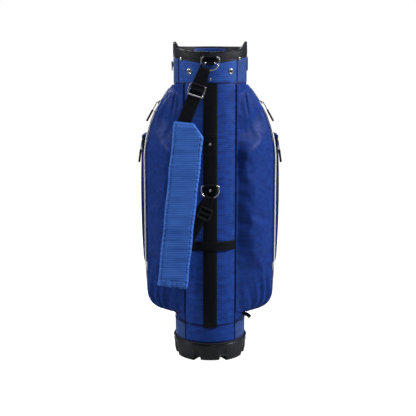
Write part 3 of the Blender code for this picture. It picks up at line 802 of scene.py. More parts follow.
@dataclass
class Tube:
    """The hidden shell, the fabric covers round it and their seams."""

    dresser: Dresser
    radius: float = 0.1053
    seam: float = 44.0
    skirt_top: float = 0.110
    cuff_bottom: float = 0.808

    def cover(self, name: str, azimuths: Array, low: Array, high: Array, rows: int, seed: int,
            relief: float) -> Piece:
        """A fabric band stretched over the shell.

        Its radius is 0.3 mm inside the nominal one, plus an uneven ripple that fades at the four
        edges, where small regular puckers take over.

        Args:
            name: the piece's name.
            azimuths: degrees.
            low: lower edge, a height or one per azimuth.
            high: upper edge.
            rows: rows of points from edge to edge.
            seed: seed of the ripple.
            relief: height of the ripple.

        Returns:
            The band, closed on its inner side.
        """
        low, high = np.broadcast_to(low, azimuths.shape), np.broadcast_to(high, azimuths.shape)
        t = np.linspace(0, 1, rows)[None]
        z = low[:, None] + (high - low)[:, None] * t
        a = np.broadcast_to(azimuths[:, None], z.shape)
        to_side = np.minimum(a - azimuths[0], azimuths[-1] - a) * radians(1) * self.radius
        to_end = np.minimum(z - low[:, None], high[:, None] - z)
        inner_part = smooth(np.minimum(to_side, to_end), 0.001, 0.016)
        folds = ripple(a / 7, z / 0.05, seed) * relief * inner_part
        pucker = 0.00028 * np.sin(z / 0.0052 * 2 * pi) * (1 - smooth(to_side, 0.001, 0.008))
        pull = -0.0006 * (1 - smooth(np.minimum(to_side, to_end), 0.0, 0.006))
        r = np.minimum(self.radius - 0.0004 + folds + pucker + pull, self.radius + 0.0001)
        outer = np.stack([r, z], -1)
        inner = np.stack([np.full((len(azimuths), 2), self.radius - 0.0015), np.stack([high, low], -1)], -1)
        return ring(name, np.concatenate([outer, inner], 1), azimuths)

    def build(self) -> None:
        """Makes the shell, the back panel, the sides and front, the skirt and every seam."""
        dress = self.dresser.dress
        shell = ring("tube_shell", wall(0.1015, 0.1034, 0.0163, 0.800, 24), full_turn(120))
        dress(shell, "shell_plastic", "liner_grey", stands_for=("inner_shell",))
        back = np.linspace(-self.seam, self.seam, 89)
        sides = np.linspace(self.seam + 0.2, 360 - self.seam - 0.2, 181)
        panel = self.cover("back_panel", back, self.skirt_top + CLEAR, self.cuff_bottom - CLEAR, 180, 3,
            0.00045)
        dress(panel, "ribbed_panel", "ribbed_blue", stands_for=("body_cover",))
        fronts = self.cover("side_and_front_cover", sides, self.skirt_top + CLEAR, self.cuff_bottom - CLEAR,
            60, 5, 0.0007)
        dress(fronts, "coated_nylon", "smooth_blue", stands_for=("body_cover",))
        skirt_back = self.cover("skirt_back", back, 0.0582, self.skirt_top, 24, 7, 0.0006)
        dress(skirt_back, "ribbed_panel", "ribbed_blue", stands_for=("skirt_cover",))
        skirt_side = self.cover("skirt_sides", sides, 0.0582, self.skirt_top, 18, 8, 0.0007)
        dress(skirt_side, "side_fabric", "ribbed_blue", stands_for=("skirt_cover",))
        self.seams()

    def seams(self) -> None:
        """Black bead cords along the upright seams and round the skirt, each beside its stitches."""
        dress = self.dresser.dress
        cords, threads = [], []
        z = np.linspace(0.0585, self.cuff_bottom - 0.001, 160)
        for sign in (-1, 1):
            line = polar(np.full_like(z, sign * self.seam), self.radius + 0.0002, z)
            line = line + 0.0003 * ripple(z / 0.02, z * 0, 11 + sign)[:, None] * np.array([1.0, 0, 0])
            cords.append(swept(f"seam_{sign}", line, circle(0.0009, 8), facing(sign * self.seam)))
            for offset in (1.35, 2.2):
                at = polar(np.full_like(z, sign * (self.seam - offset)), self.radius - 0.0004, z)
                threads.append(stitches(f"seam_thread_{sign}_{offset}", at, facing(sign * self.seam), 0.0042,
                    0.0008))
        a = np.linspace(0, 360, 241)
        bead = polar(a, self.radius - 0.0001, self.skirt_top)[:-1]
        cords.append(swept("skirt_seam", bead, circle(0.0006, 8), facing(a[:-1]), closed=True))
        beads = []
        for sign in (-1, 1):
            b = np.linspace(self.seam + 0.5, 86, 60)
            rise = self.skirt_top - 0.002 + 0.028 * smooth(b, self.seam - 4, 84)
            beads.append(swept(f"side_bead_{sign}", polar(sign * b, self.radius + 0.0004, rise),
                circle(0.0014, 8), facing(sign * b)))
        dress(joined("side_beads", beads), "binding", "webbing_black")
        for z_row in (self.skirt_top - 0.004, self.skirt_top + 0.004):
            threads.append(stitches(f"skirt_thread_{z_row:.3f}", polar(a, self.radius - 0.0003, z_row),
                facing(a), 0.0045, 0.0008))
        dress(joined("seam_cords", cords), "seam_cord", "smooth_blue")
        dress(joined("seam_stitches", threads), "navy_thread", "ribbed_blue")


def rim_low(azimuth: Array) -> Array:
    """Lower edge of the rim binding: it dips at the spine and stays level round the front."""
    folded = np.abs((azimuth + 180) % 360 - 180)
    return 0.863 + 0.019 * np.sin(np.radians(np.minimum(folded, 90))) ** 2


def rim_top(azimuth: Array) -> Array:
    """Upper edge of the rim: low at the spine, an ear at each side, level round the front.

    The knots are joined by straight lines and then averaged over 12 degrees.
    """
    knots = [0, 30, 58, 68, 77, 92, 104, 116, 180]
    heights = [0.8938, 0.8963, 0.9028, 0.9165, 0.9255, 0.9255, 0.9168, 0.9128, 0.9150]
    spread = np.linspace(-6, 6, 13)
    folded = np.abs((np.asarray(azimuth)[..., None] + spread + 180) % 360 - 180)
    return np.interp(folded, knots, heights).mean(-1)


@dataclass
class Cuff:
    """The stiff collar: shell, ribbed and plain covers, soft black rim, snaps, eyelets and rivet."""

    dresser: Dresser
    radius: float = 0.1058
    rim: float = 0.1068
    bottom: float = 0.808
    right_seam: float = 45.8
    left_seam: float = -57.3

    def cover(self, name: str, azimuths: Array, seed: int) -> Piece:
        """A cover from the cuff's seam up to the rim, drawn in at its edges and slightly uneven."""
        rows = 26
        t = np.linspace(0, 1, rows)[None]
        high = rim_low(azimuths) - CLEAR
        z = self.bottom + (high - self.bottom)[:, None] * t
        from_side = np.minimum(azimuths - azimuths[0], azimuths[-1] - azimuths)[:, None] * 0.0018
        edge = np.minimum(from_side, np.minimum(z - self.bottom, high[:, None] - z))
        waves = 0.0003 * ripple(azimuths[:, None] / 9, z / 0.03, seed) * smooth(edge, 0, 0.01)
        r = self.radius - 0.0002 - 0.0007 * (1 - smooth(edge, 0, 0.005)) + waves
        inner = np.stack([np.full((len(azimuths), 2), 0.1039),
            np.stack([high, np.full_like(high, self.bottom)], -1)], -1)
        return ring(name, np.concatenate([np.stack([r, z], -1), inner], 1), azimuths)

    def binding(self) -> Piece:
        """The black rim, folded over the shell's edge.

        Its profile is a rounded cap: outer face, round top, inner face. The outer face has a soft
        roll at the top and a stitched dent above the lower edge, and both faces carry slow folds
        whose size changes round the rim.
        """
        azimuths = full_turn(360)
        low, top = rim_low(azimuths), rim_top(azimuths)
        height = top - low
        share = np.array([0.0, 0.03, 0.10, 0.16, 0.22, 0.34, 0.48, 0.62, 0.74, 0.84, 0.91])
        z = low[:, None] + height[:, None] * share
        folds = 0.0007 * ripple(azimuths[:, None] / 10, z / 0.018, 21, 9) * smooth(share, 0.05, 0.3)[None]
        dent = -0.0008 * bump(share, 0.14, 0.035)[None] - 0.0006 * bump(share, 0.86, 0.04)[None]
        roll = 0.0003 * np.sin(pi * np.clip(share, 0, 1))[None]
        outer = np.stack([self.rim - 0.0003 + folds + dent + roll, z], -1)
        turn = np.radians([20, 50, 80, 110, 140, 165])
        lip = np.stack([0.1023 + 0.0042 * np.cos(turn)[None] + 0 * top[:, None],
            top[:, None] - 0.0042 + 0.0042 * np.sin(turn)[None]], -1)
        down = np.linspace(0.9, 0.0, 8)
        inner_z = (low - 0.002)[:, None] + (height - 0.004)[:, None] * down
        inner_r = 0.0981 + 0.0004 * ripple(azimuths[:, None] / 11, inner_z / 0.02, 22)
        inner = np.stack([inner_r, inner_z], -1)
        corners = ((0.1001, -0.002), (0.1001, 0.004), (0.1038, 0.004), (0.1038, 0.0))
        back = np.stack([np.stack([np.full_like(low, r), low + dz], -1) for r, dz in corners], 1)
        return ring("rim", np.concatenate([outer, lip, inner, back], 1), azimuths)

    def build(self) -> None:
        """Makes the shell, covers, rim, seams, inside lining and the metal fasteners."""
        dress = self.dresser.dress
        azimuths = full_turn(180)
        tops = rim_top(azimuths) - 0.0085
        foot = np.full(180, 0.8003)
        corners = ((0.1003, foot), (0.1034, foot), (0.1034, tops), (0.1003, tops))
        shell = np.stack([np.stack([np.full(180, r), z], -1) for r, z in corners], 1)
        dress(ring("collar_shell", shell, azimuths), "lining", "liner_grey", stands_for=("top_cuff_shell",))
        dress(self.cover("cuff_back", np.linspace(self.left_seam, self.right_seam, 105), 31), "ribbed_cuff",
            "ribbed_blue", stands_for=("cuff_cover",))
        front = np.linspace(self.right_seam + 0.2, 360 + self.left_seam - 0.2, 200)
        dress(self.cover("cuff_front", front, 32), "side_fabric", "ribbed_blue", stands_for=("cuff_cover",))
        dress(self.binding(), "binding", "webbing_black", stands_for=("rim_binding",))
        self.seams()
        self.lining()
        self.fasteners()

    def seams(self) -> None:
        """Upright cords where the covers meet, the cord under the cuff and rows of stitches."""
        cords, threads = [], []
        for azimuth in (self.left_seam, self.right_seam):
            z = np.linspace(self.bottom, float(rim_low(np.array(azimuth))), 20)
            out = facing(azimuth)
            cords.append(swept(f"cuff_cord_{azimuth:.0f}",
                polar(np.full_like(z, azimuth), self.radius - 0.0001, z), circle(0.0009, 8), out))
            for offset in (-1.6, 1.6):
                threads.append(stitches(f"cuff_thread_{azimuth:.0f}_{offset}",
                    polar(np.full_like(z, azimuth + offset), self.radius - 0.0002, z), out, 0.004, 0.0008))
        a = np.linspace(0, 360, 241)
        cords.append(swept("cuff_edge", polar(a, 0.1053, self.bottom - 0.0001)[:-1], circle(0.0008, 8),
            facing(a[:-1]), closed=True))
        threads.append(stitches("cuff_low_thread", polar(a, self.radius - 0.0001, self.bottom + 0.0045),
            facing(a), 0.0045, 0.0008))
        self.dresser.dress(joined("cuff_cords", cords), "seam_cord", "ribbed_blue")
        self.dresser.dress(joined("cuff_stitches", threads), "navy_thread", "ribbed_blue")
        rows = []
        for share in (0.14, 0.86):
            z = rim_low(a) + (rim_top(a) - rim_low(a)) * share
            rows.append(stitches(f"rim_thread_{share}", polar(a, self.rim - 0.0008, z), facing(a), 0.0048,
                0.0009))
        self.dresser.dress(joined("rim_stitches", rows), "black_thread", "webbing_black")

    def lining(self) -> None:
        """A blue patch on the inside of the front rim."""
        azimuths = np.linspace(151, 209, 60)
        z = np.linspace(0, 1, 10)[None]
        low, high = 0.884, rim_top(azimuths)[:, None] - 0.006
        height = low + (high - low) * z
        r = 0.0975 + 0.0004 * ripple(azimuths[:, None] / 8, height / 0.02, 41)
        outer = np.stack([np.full_like(height, 0.0980), height], -1)
        inner = np.stack([r, height], -1)[:, ::-1]
        self.dresser.dress(ring("inside_patch", np.concatenate([outer, inner], 1), azimuths), "lining",
            "ribbed_blue")

    def fasteners(self) -> None:
        """Snaps on the rim, eyelets and a rivet on the cuff, and a black disc in each eyelet as painted shade
        in its hole.
        """
        snap = [(0.0052, 0.0), (0.0053, 0.0006), (0.0049, 0.0013), (0.0040, 0.0014), (0.0037, 0.0020),
            (0.0030, 0.0027), (0.0016, 0.0031), (AXIS, 0.0032), (AXIS, 0.0)]
        eyelet = [(0.0036, 0.0), (0.0079, 0.0), (0.0080, 0.0004), (0.0073, 0.0010), (0.0060, 0.0013),
            (0.0047, 0.0012), (0.0038, 0.0006)]
        for side, sign in (("left", -1), ("right", 1)):
            stud = button(f"snap_{side}", snap, polar(sign * 50, self.rim + CLEAR, 0.8756), facing(sign * 50))
            self.dresser.dress(stud, "nickel", "bright_metal", stands_for=(f"stud_{side}",))
            hole = button(f"grommet_{side}", eyelet, polar(sign * 33, self.radius + CLEAR, 0.840),
                facing(sign * 33))
            self.dresser.dress(hole, "nickel", "bright_metal", stands_for=(f"eyelet_{side}",))
            # A black disc on the cover inside the eyelet: painted shade that stands in for the hole.
            dark = button(f"grommet_hole_shade_{side}",
                [(0.0037, 0.0), (0.0037, 0.0002), (AXIS, 0.0002), (AXIS, 0.0)],
                polar(sign * 33, self.radius - 0.00005, 0.840), facing(sign * 33))
            self.dresser.dress(dark, "black_plastic", "moulded_black")
        rivet = button("cuff_spine_rivet", RIVET, polar(0, self.radius + CLEAR, 0.8185), (0, -1, 0))
        self.dresser.dress(rivet, "nickel", "bright_metal", stands_for=("cuff_rivet",))


RIVET = [(0.0034, 0.0), (0.0034, 0.0004), (0.0030, 0.0008), (0.0018, 0.0012), (AXIS, 0.0013), (AXIS, 0.0)]


def button(name: str, profile: list, centre: Array, axis: Array, steps: int = 28) -> Piece:
    """Turns a closed (radius, height) profile about an axis.

    Args:
        name: the piece's name.
        profile: (radius, height) points; a radius of AXIS stands for the axis.
        centre: the profile's origin.
        axis: direction of its heights.
        steps: points round it.

    Returns:
        The turned piece.
    """
    out = unit(np.asarray(axis, float))
    across = unit(np.cross(out, (0, 0, 1.0)) if abs(out[2]) < 0.9 else np.array([1.0, 0, 0]))
    up = np.cross(across, out)
    t = np.arange(steps) * 2 * pi / steps
    p = np.asarray(profile, float)
    radial = across * np.cos(t)[:, None] + up * np.sin(t)[:, None]
    grid = np.asarray(centre) + radial[:, None] * p[None, :, :1] + out * p[None, :, 1:]
    return welded(surface(name, grid, rows=True, cols=True), 2.5e-5)


# --- inside, spine and rings -------------------------------------------------------------------


@dataclass
class Interior:
    """Padded divider rails at the mouth and the full-length cloth dividers below them."""

    dresser: Dresser
    low: float = 0.835
    high: float = 0.853
    floor: float = 0.0115
    thickness: float = 0.0013

    def rail(self, name: str, start: tuple, end: tuple, width: float) -> Piece:
        """A padded bar with a rounded section that swells a little between its ends."""
        t = np.linspace(0, 1, 24)[:, None]
        path = np.array([*start, 0.0]) * (1 - t) + np.array([*end, 0.0]) * t
        path[:, 2] = (self.low + self.high) / 2
        swell = 1 - 0.06 * (np.abs(2 * t - 1) ** 3) + 0.015 * np.sin(t * 41)
        section = rounded_box(width, self.high - self.low, 0.0045, 5)[None] * swell[..., None]
        return swept(name, path, section, (0, 0, 1))

    def sheet(self, key: str, start: tuple, end: tuple, seed: int) -> None:
        """A hanging divider: flat at its sewn edges, with slow waves of up to 1.5 mm between them.

        Args:
            key: the end of the CAD node's name.
            start: (x, y) of one upright edge.
            end: (x, y) of the other.
            seed: seed of the waves.
        """
        start, end = np.array(start), np.array(end)
        length = float(np.linalg.norm(end - start))
        u, z = np.meshgrid(np.linspace(0, 1, 40), np.linspace(self.floor, self.low - CLEAR, 90))
        edges = np.sin(pi * u) * smooth(0.835 - z, 0.0, 0.12) * smooth(z, 0.0115, 0.10)
        wave = 0.0015 * ripple(u * length / 0.03, z / 0.11, seed) * edges
        normal = np.array([-(end - start)[1], (end - start)[0]]) / length
        faces = []
        for side in (1, -1):
            xy = start + (end - start) * u[..., None] + normal * (wave + side * self.thickness / 2)[..., None]
            faces.append(np.concatenate([xy, z[..., None]], -1))
        loop = np.concatenate([faces[0], faces[1][:, ::-1]], 1)
        piece = surface(f"divider_cloth_{key}", loop, cols=True, caps=True)
        self.dresser.dress(piece, "lining", "smooth_blue", stands_for=(f"divider_sheet_{key}",))

    def build(self) -> None:
        """Makes the rails and the four dividers."""
        angle = np.radians(np.arange(0, 360, 22.5))
        hoop_section = np.stack([0.09575 + 0.0018 * np.sign(np.cos(angle)) * np.abs(np.cos(angle)) ** 0.6,
            0.844 + 0.0088 * np.sign(np.sin(angle)) * np.abs(np.sin(angle)) ** 0.6], -1)
        rails = [
            ring("rail_hoop", hoop_section, full_turn(120)),
            self.rail("rail_cross", (-0.0950, -0.015), (0.0950, -0.015), 0.0122),
            self.rail("rail_front", (0.0, -0.012), (0.0, 0.0950), 0.0122),
            self.rail("rail_back_left", (-0.035, -0.086), (-0.035, -0.017), 0.0102),
            self.rail("rail_back_right", (0.035, -0.086), (0.035, -0.017), 0.0102),
        ]
        self.dresser.dress(joined("divider_rails", rails), "divider_fleece", "webbing_black",
            stands_for=("divider_top",))
        self.sheet("cross", (-0.098, -0.015), (0.098, -0.015), 51)
        self.sheet("front", (0.0, -0.0138), (0.0, 0.099), 52)
        self.sheet("back_left", (-0.035, -0.093), (-0.035, -0.0162), 53)
        self.sheet("back_right", (0.035, -0.093), (0.035, -0.0162), 54)


def web_section(width: float, thickness: float) -> Array:
    """Outline of a woven band: flat faces between small round selvedges."""
    w, h = width / 2, thickness / 2
    x = np.linspace(-w + h, w - h, 13)
    top = np.stack([x, np.full_like(x, h)], -1)
    return np.vstack([top, [[w, 0.0]], top[::-1] * (1, -1), [[-w, 0.0]]])


def band_on(name: str, path: Array, width: float, out: Array, thickness: float = 0.0012) -> Piece:
    """A webbing band of even width along a path."""
    return swept(name, path, web_section(width, thickness), out)


def ring_line(half_width: float, drop: float, corner: float) -> Array:
    """Centre line of a D-shaped ring as (across, up) points, its straight bar along the top."""
    side = drop * 0.34
    bar = arc(half_width - corner, -corner, corner, 90, 0, 8)
    t = np.linspace(0, pi, 49)
    bottom = np.stack([half_width * np.cos(t), -side - (drop - side) * np.sin(t)], -1)
    return np.vstack([bar, bottom[:-1], (bar * (-1, 1))[::-1]])


def over_bar(bar_y: float, bar_z: float, bottom: float, loop: float, layer: float) -> Array:
    """Path (y, z) of a tab: up behind a bar, round it on a half circle, and down in front."""
    back, front = bar_y + loop, bar_y + loop - layer
    bend = arc(bar_y, bar_z, loop, 0, 200, 16)
    down = curved([tuple(bend[-1]), (front + 0.0006, bar_z - 0.0045), (front, bar_z - 0.0085),
        (front, bottom)], 24)
    return np.vstack([np.stack([np.full(10, back), np.linspace(bottom, bar_z - 0.0005, 10)], -1), bend,
        down[1:]])


@dataclass
class Spine:
    """The webbing down the back, its keeper band, the ring tabs, the rings and their rivets."""

    dresser: Dresser
    wire: float = 0.00225
    loop: float = 0.00345
    upper: tuple = (-0.11115, 0.878)
    lower: tuple = (-0.11195, 0.522)

    def webbing(self) -> Piece:
        """The spine band: rounded selvedges, and 0.5 mm thicker where its lengths overlap."""
        z = np.linspace(0.1042, 0.8075, 420)
        arcs = np.linspace(-10.9, 10.9, 23)
        edge = 1 - np.abs(arcs / 10.9) ** 10
        upper_fold = smooth(z, 0.600, 0.602) * (1 - smooth(z, 0.668, 0.670))
        lower_fold = 0.8 * smooth(z, 0.476, 0.478) * (1 - smooth(z, 0.521, 0.523))
        extra = 0.0006 * (upper_fold + lower_fold)
        r = 0.1063 + (0.0011 + extra[:, None]) * edge[None] + 0.00015 * ripple(z[:, None] / 0.03,
            arcs[None] / 6, 61)
        outer = polar(np.broadcast_to(arcs[None], r.shape), r, np.broadcast_to(z[:, None], r.shape))
        under = polar(np.broadcast_to(arcs[None, ::-1], r.shape), np.full_like(r, 0.1056),
            np.broadcast_to(z[:, None], r.shape))
        return surface("spine_band", np.concatenate([outer, under], 1), cols=True, caps=True)

    def keeper(self) -> Piece:
        """The band across the back, flat at both seams and standing off the panel between them."""
        azimuths = np.linspace(-44, 44, 121)
        lift = 0.0049 * smooth(44 - np.abs(azimuths), 0, 15)
        rows = np.linspace(-1, 1, 15)
        profile = []
        for face, order in ((0.0012, 1), (0.0, -1)):
            y = rows[::order]
            waves = 0.0002 * ripple(azimuths[:, None] / 9, y[None] * 2, 62)
            r = 0.1057 + lift[:, None] + face * (1 - np.abs(y) ** 8)[None] + waves
            profile.append(np.stack([r, np.broadcast_to(0.3475 + 0.0135 * y, r.shape)], -1))
        return ring("keeper", np.concatenate(profile, 1), azimuths)

    def ring(self, name: str, bar: tuple, half_width: float, drop: float, corner: float, wire: float,
            plane: str = "xz") -> Piece:
        """A welded wire ring hanging from its bar."""
        line = ring_line(half_width, drop, corner)
        y, z = np.full(len(line), bar[0]), bar[1] + line[:, 1]
        points = np.stack([line[:, 0], y, z] if plane == "xz" else [y, line[:, 0], z], -1)
        points = resampled(points, 110, closed=True)
        return swept(name, points, circle(wire, 12), (0, 1, 0) if plane == "xz" else (1, 0, 0), closed=True)

    def build(self) -> None:
        """Makes every piece of the back and dresses it."""
        dress = self.dresser.dress
        dress(self.webbing(), "webbing", "webbing_black", stands_for=("spine_webbing",))
        dress(self.keeper(), "webbing", "webbing_black", stands_for=("keeper_band",))
        for which, bar, bottom in (("upper", self.upper, 0.857), ("lower", self.lower, 0.502)):
            yz = over_bar(*bar, bottom, self.loop, 0.0016)
            path = np.column_stack([np.zeros(len(yz)), yz])
            tangent = np.gradient(path, axis=0)
            out = np.cross(tangent, (1.0, 0, 0))
            dress(band_on(f"ring_tab_{which}", path, 0.036, out), "webbing", "webbing_black",
                stands_for=(f"{which}_ring_tab",))
            body = "strap" if which == "upper" else "strap_tail"
            dress(self.ring(f"ring_{which}", bar, 0.02525, 0.0355, 0.006, self.wire), "nickel",
                "bright_metal", body, (f"{which}_d_ring",))
        face = self.upper[0] + self.loop - 0.0022
        for side, x in (("left", -0.014), ("right", 0.014)):
            dress(button(f"ring_rivet_{side}", RIVET, (x, face - CLEAR, 0.8625), (0, -1, 0)), "nickel",
                "bright_metal", stands_for=(f"tab_rivet_{side}",))
        dress(button("spine_rivet", RIVET, polar(0, 0.1080, 0.639), (0, -1, 0)), "nickel", "bright_metal")
        dress(button("lower_tab_rivet", RIVET, (0.0, self.lower[0] + self.loop - 0.0023, 0.5085), (0, -1, 0)),
            "nickel", "bright_metal")
        self.threads()

    def threads(self) -> None:
        """Stitches: down both selvedges, across the overlaps, along the keeper and on the tabs."""
        rows = []
        z = np.linspace(0.106, 0.806, 200)
        for sign in (-1, 1):
            rows.append(stitches(f"spine_row_{sign}", polar(np.full_like(z, sign * 9.3), 0.1073, z),
                (0, -1, 0), 0.0044, 0.0008))
        arcs = np.linspace(-9, 9, 20)
        for level, r in ((0.603, 0.1081), (0.607, 0.1081), (0.661, 0.1081), (0.666, 0.1081), (0.479, 0.1080)):
            rows.append(stitches(f"spine_bar_{level}", polar(arcs, r, level), (0, -1, 0), 0.003, 0.0009))
        for level in (0.3370, 0.3580):
            for low, high in ((-43.5, -36), (36, 43.5)):
                a = np.linspace(low, high, 20)
                lift = 0.0049 * smooth(44 - np.abs(a), 0, 15)
                rows.append(stitches(f"keeper_row_{level}_{low}", polar(a, 0.1070 + lift, level), facing(a),
                    0.0035, 0.0008))
        for bar, bottom in ((self.upper, 0.857), (self.lower, 0.502)):
            y = bar[0] + self.loop - 0.0023
            for x in (-0.0162, 0.0162):
                line = np.column_stack([np.full(12, x), np.full(12, y),
                    np.linspace(bottom + 0.001, bar[1] - 0.010, 12)])
                rows.append(stitches(f"tab_row_{bottom}_{x}", line, (0, -1, 0), 0.0034, 0.0008))
            line = np.column_stack([np.linspace(-0.016, 0.016, 12), np.full(12, y),
                np.full(12, bottom + 0.0016)])
            rows.append(stitches(f"tab_foot_{bottom}", line, (0, -1, 0), 0.0034, 0.0008))
        self.dresser.dress(joined("spine_stitches", rows), "black_thread", "webbing_black")


# --- pockets -----------------------------------------------------------------------------------


def filleted(corners: list, radii: list, counts: list) -> Array:
    """An open polyline with rounded corners.

    Args:
        corners: (x, y) points from start to end.
        radii: how far each inner corner's curve reaches along its two edges.
        counts: points on each straight edge.

    Returns:
        (n, 2) points: even steps on the edges, and 5 on each corner's quadratic curve.
    """
    c = np.asarray(corners, float)
    points, start = [], c[0]
    for i in range(1, len(c)):
        last = i == len(c) - 1
        back, ahead = unit(c[i - 1] - c[i]), None if last else unit(c[i + 1] - c[i])
        stop = c[i] if last else c[i] + back * radii[i - 1]
        t = np.linspace(0, 1, counts[i - 1])[:, None]
        points.append(start * (1 - t) + stop * t)
        if last:
            break
        onward = c[i] + ahead * radii[i - 1]
        t = np.linspace(0, 1, 7)[1:-1, None]
        points.append(stop * (1 - t) ** 2 + 2 * c[i] * t * (1 - t) + onward * t**2)
        start = onward
    return np.vstack(points)


@dataclass
class Pocket:
    """A fabric pocket on the tube, as one closed grid.

    Columns run round the tube from one seam to the other, and each is a closed loop: up the outer
    face, over the top, down the tube and back under the bottom.
    """

    name: str
    start: float
    end: float
    z_rows: Array
    sections: Array
    mirrored: bool = False
    inner: float = 0.1057
    sag: Array | float = 0.0

    def grid(self, lift: Array) -> Array:
        """Builds the points.

        Args:
            lift: (rows, columns) distance that the outer face stands off its frame.

        Returns:
            (columns, loop, 3) points.
        """
        outer = np.concatenate([self.sections,
            np.broadcast_to(self.z_rows[:, None, None], (*self.sections.shape[:2], 1))], -1)
        normal = unit(np.cross(np.gradient(outer, axis=1), np.gradient(outer, axis=0)))
        flip = np.sign((normal[..., :2] * outer[..., :2]).sum(-1).mean())
        outer = outer + normal * flip * lift[..., None]
        outer[..., 2] -= self.sag
        radius = np.linalg.norm(outer[..., :2], axis=-1)
        outer[..., :2] *= np.maximum(1, (self.inner + 0.0024) / radius)[..., None]
        azimuth = np.degrees(np.arctan2(outer[..., 0], -outer[..., 1])) % 360
        azimuth[:, 0], azimuth[:, -1] = self.start, self.end
        rows = np.linspace(0, len(self.z_rows) - 1, 14).round().astype(int)[::-1]
        inner = polar(azimuth[rows], self.inner, self.z_rows[rows][:, None])
        parts = [outer, self.cap(outer[-1], inner[0]), inner, self.cap(inner[-1], outer[0])]
        loop = np.concatenate(parts, 0).transpose(1, 0, 2)
        return loop * (-1, 1, 1) if self.mirrored else loop

    @staticmethod
    def cap(near: Array, far: Array) -> Array:
        """Rows between two edges, without the edges themselves."""
        t = np.linspace(0, 1, 8)[1:-1, None, None]
        return near[None] * (1 - t) + far[None] * t

    def build(self, lift: Array) -> Piece:
        """Makes the object."""
        return surface(self.name, self.grid(lift), cols=True, caps=True)


POCKET_LOW, POCKET_HIGH, POCKET_HALF = 0.143, 0.803, 0.190
SHOULDER_LOW, SHOULDER_X, SHOULDER_RADIUS = 0.58, -0.1614, 0.3514


def pocket_width(z: Array) -> Array:
    """Half the width over both side pockets: a corner arc, a straight side and a shoulder arc."""
    shoulder = SHOULDER_X + np.sqrt(SHOULDER_RADIUS**2 - np.clip(z - SHOULDER_LOW, 0, 0.3) ** 2)
    corner = 0.140 + np.sqrt(np.maximum(0.050**2 - np.clip(0.193 - z, 0, 0.05) ** 2, 0))
    return np.where(z > SHOULDER_LOW, shoulder, np.where(z < 0.193, corner, POCKET_HALF))


def silhouette(z0: float, z1: float, count: int) -> Array:
    """Heights that are evenly spaced along the side pocket's outline."""
    z = POCKET_LOW + (POCKET_HIGH - POCKET_LOW) * (1 - np.cos(np.linspace(0, pi, 4001))) / 2
    z = z[(z >= z0 - 1e-9) & (z <= z1 + 1e-9)]
    along = travelled(np.stack([pocket_width(z), z], -1))
    return np.interp(np.linspace(0, along[-1], count), along, z)


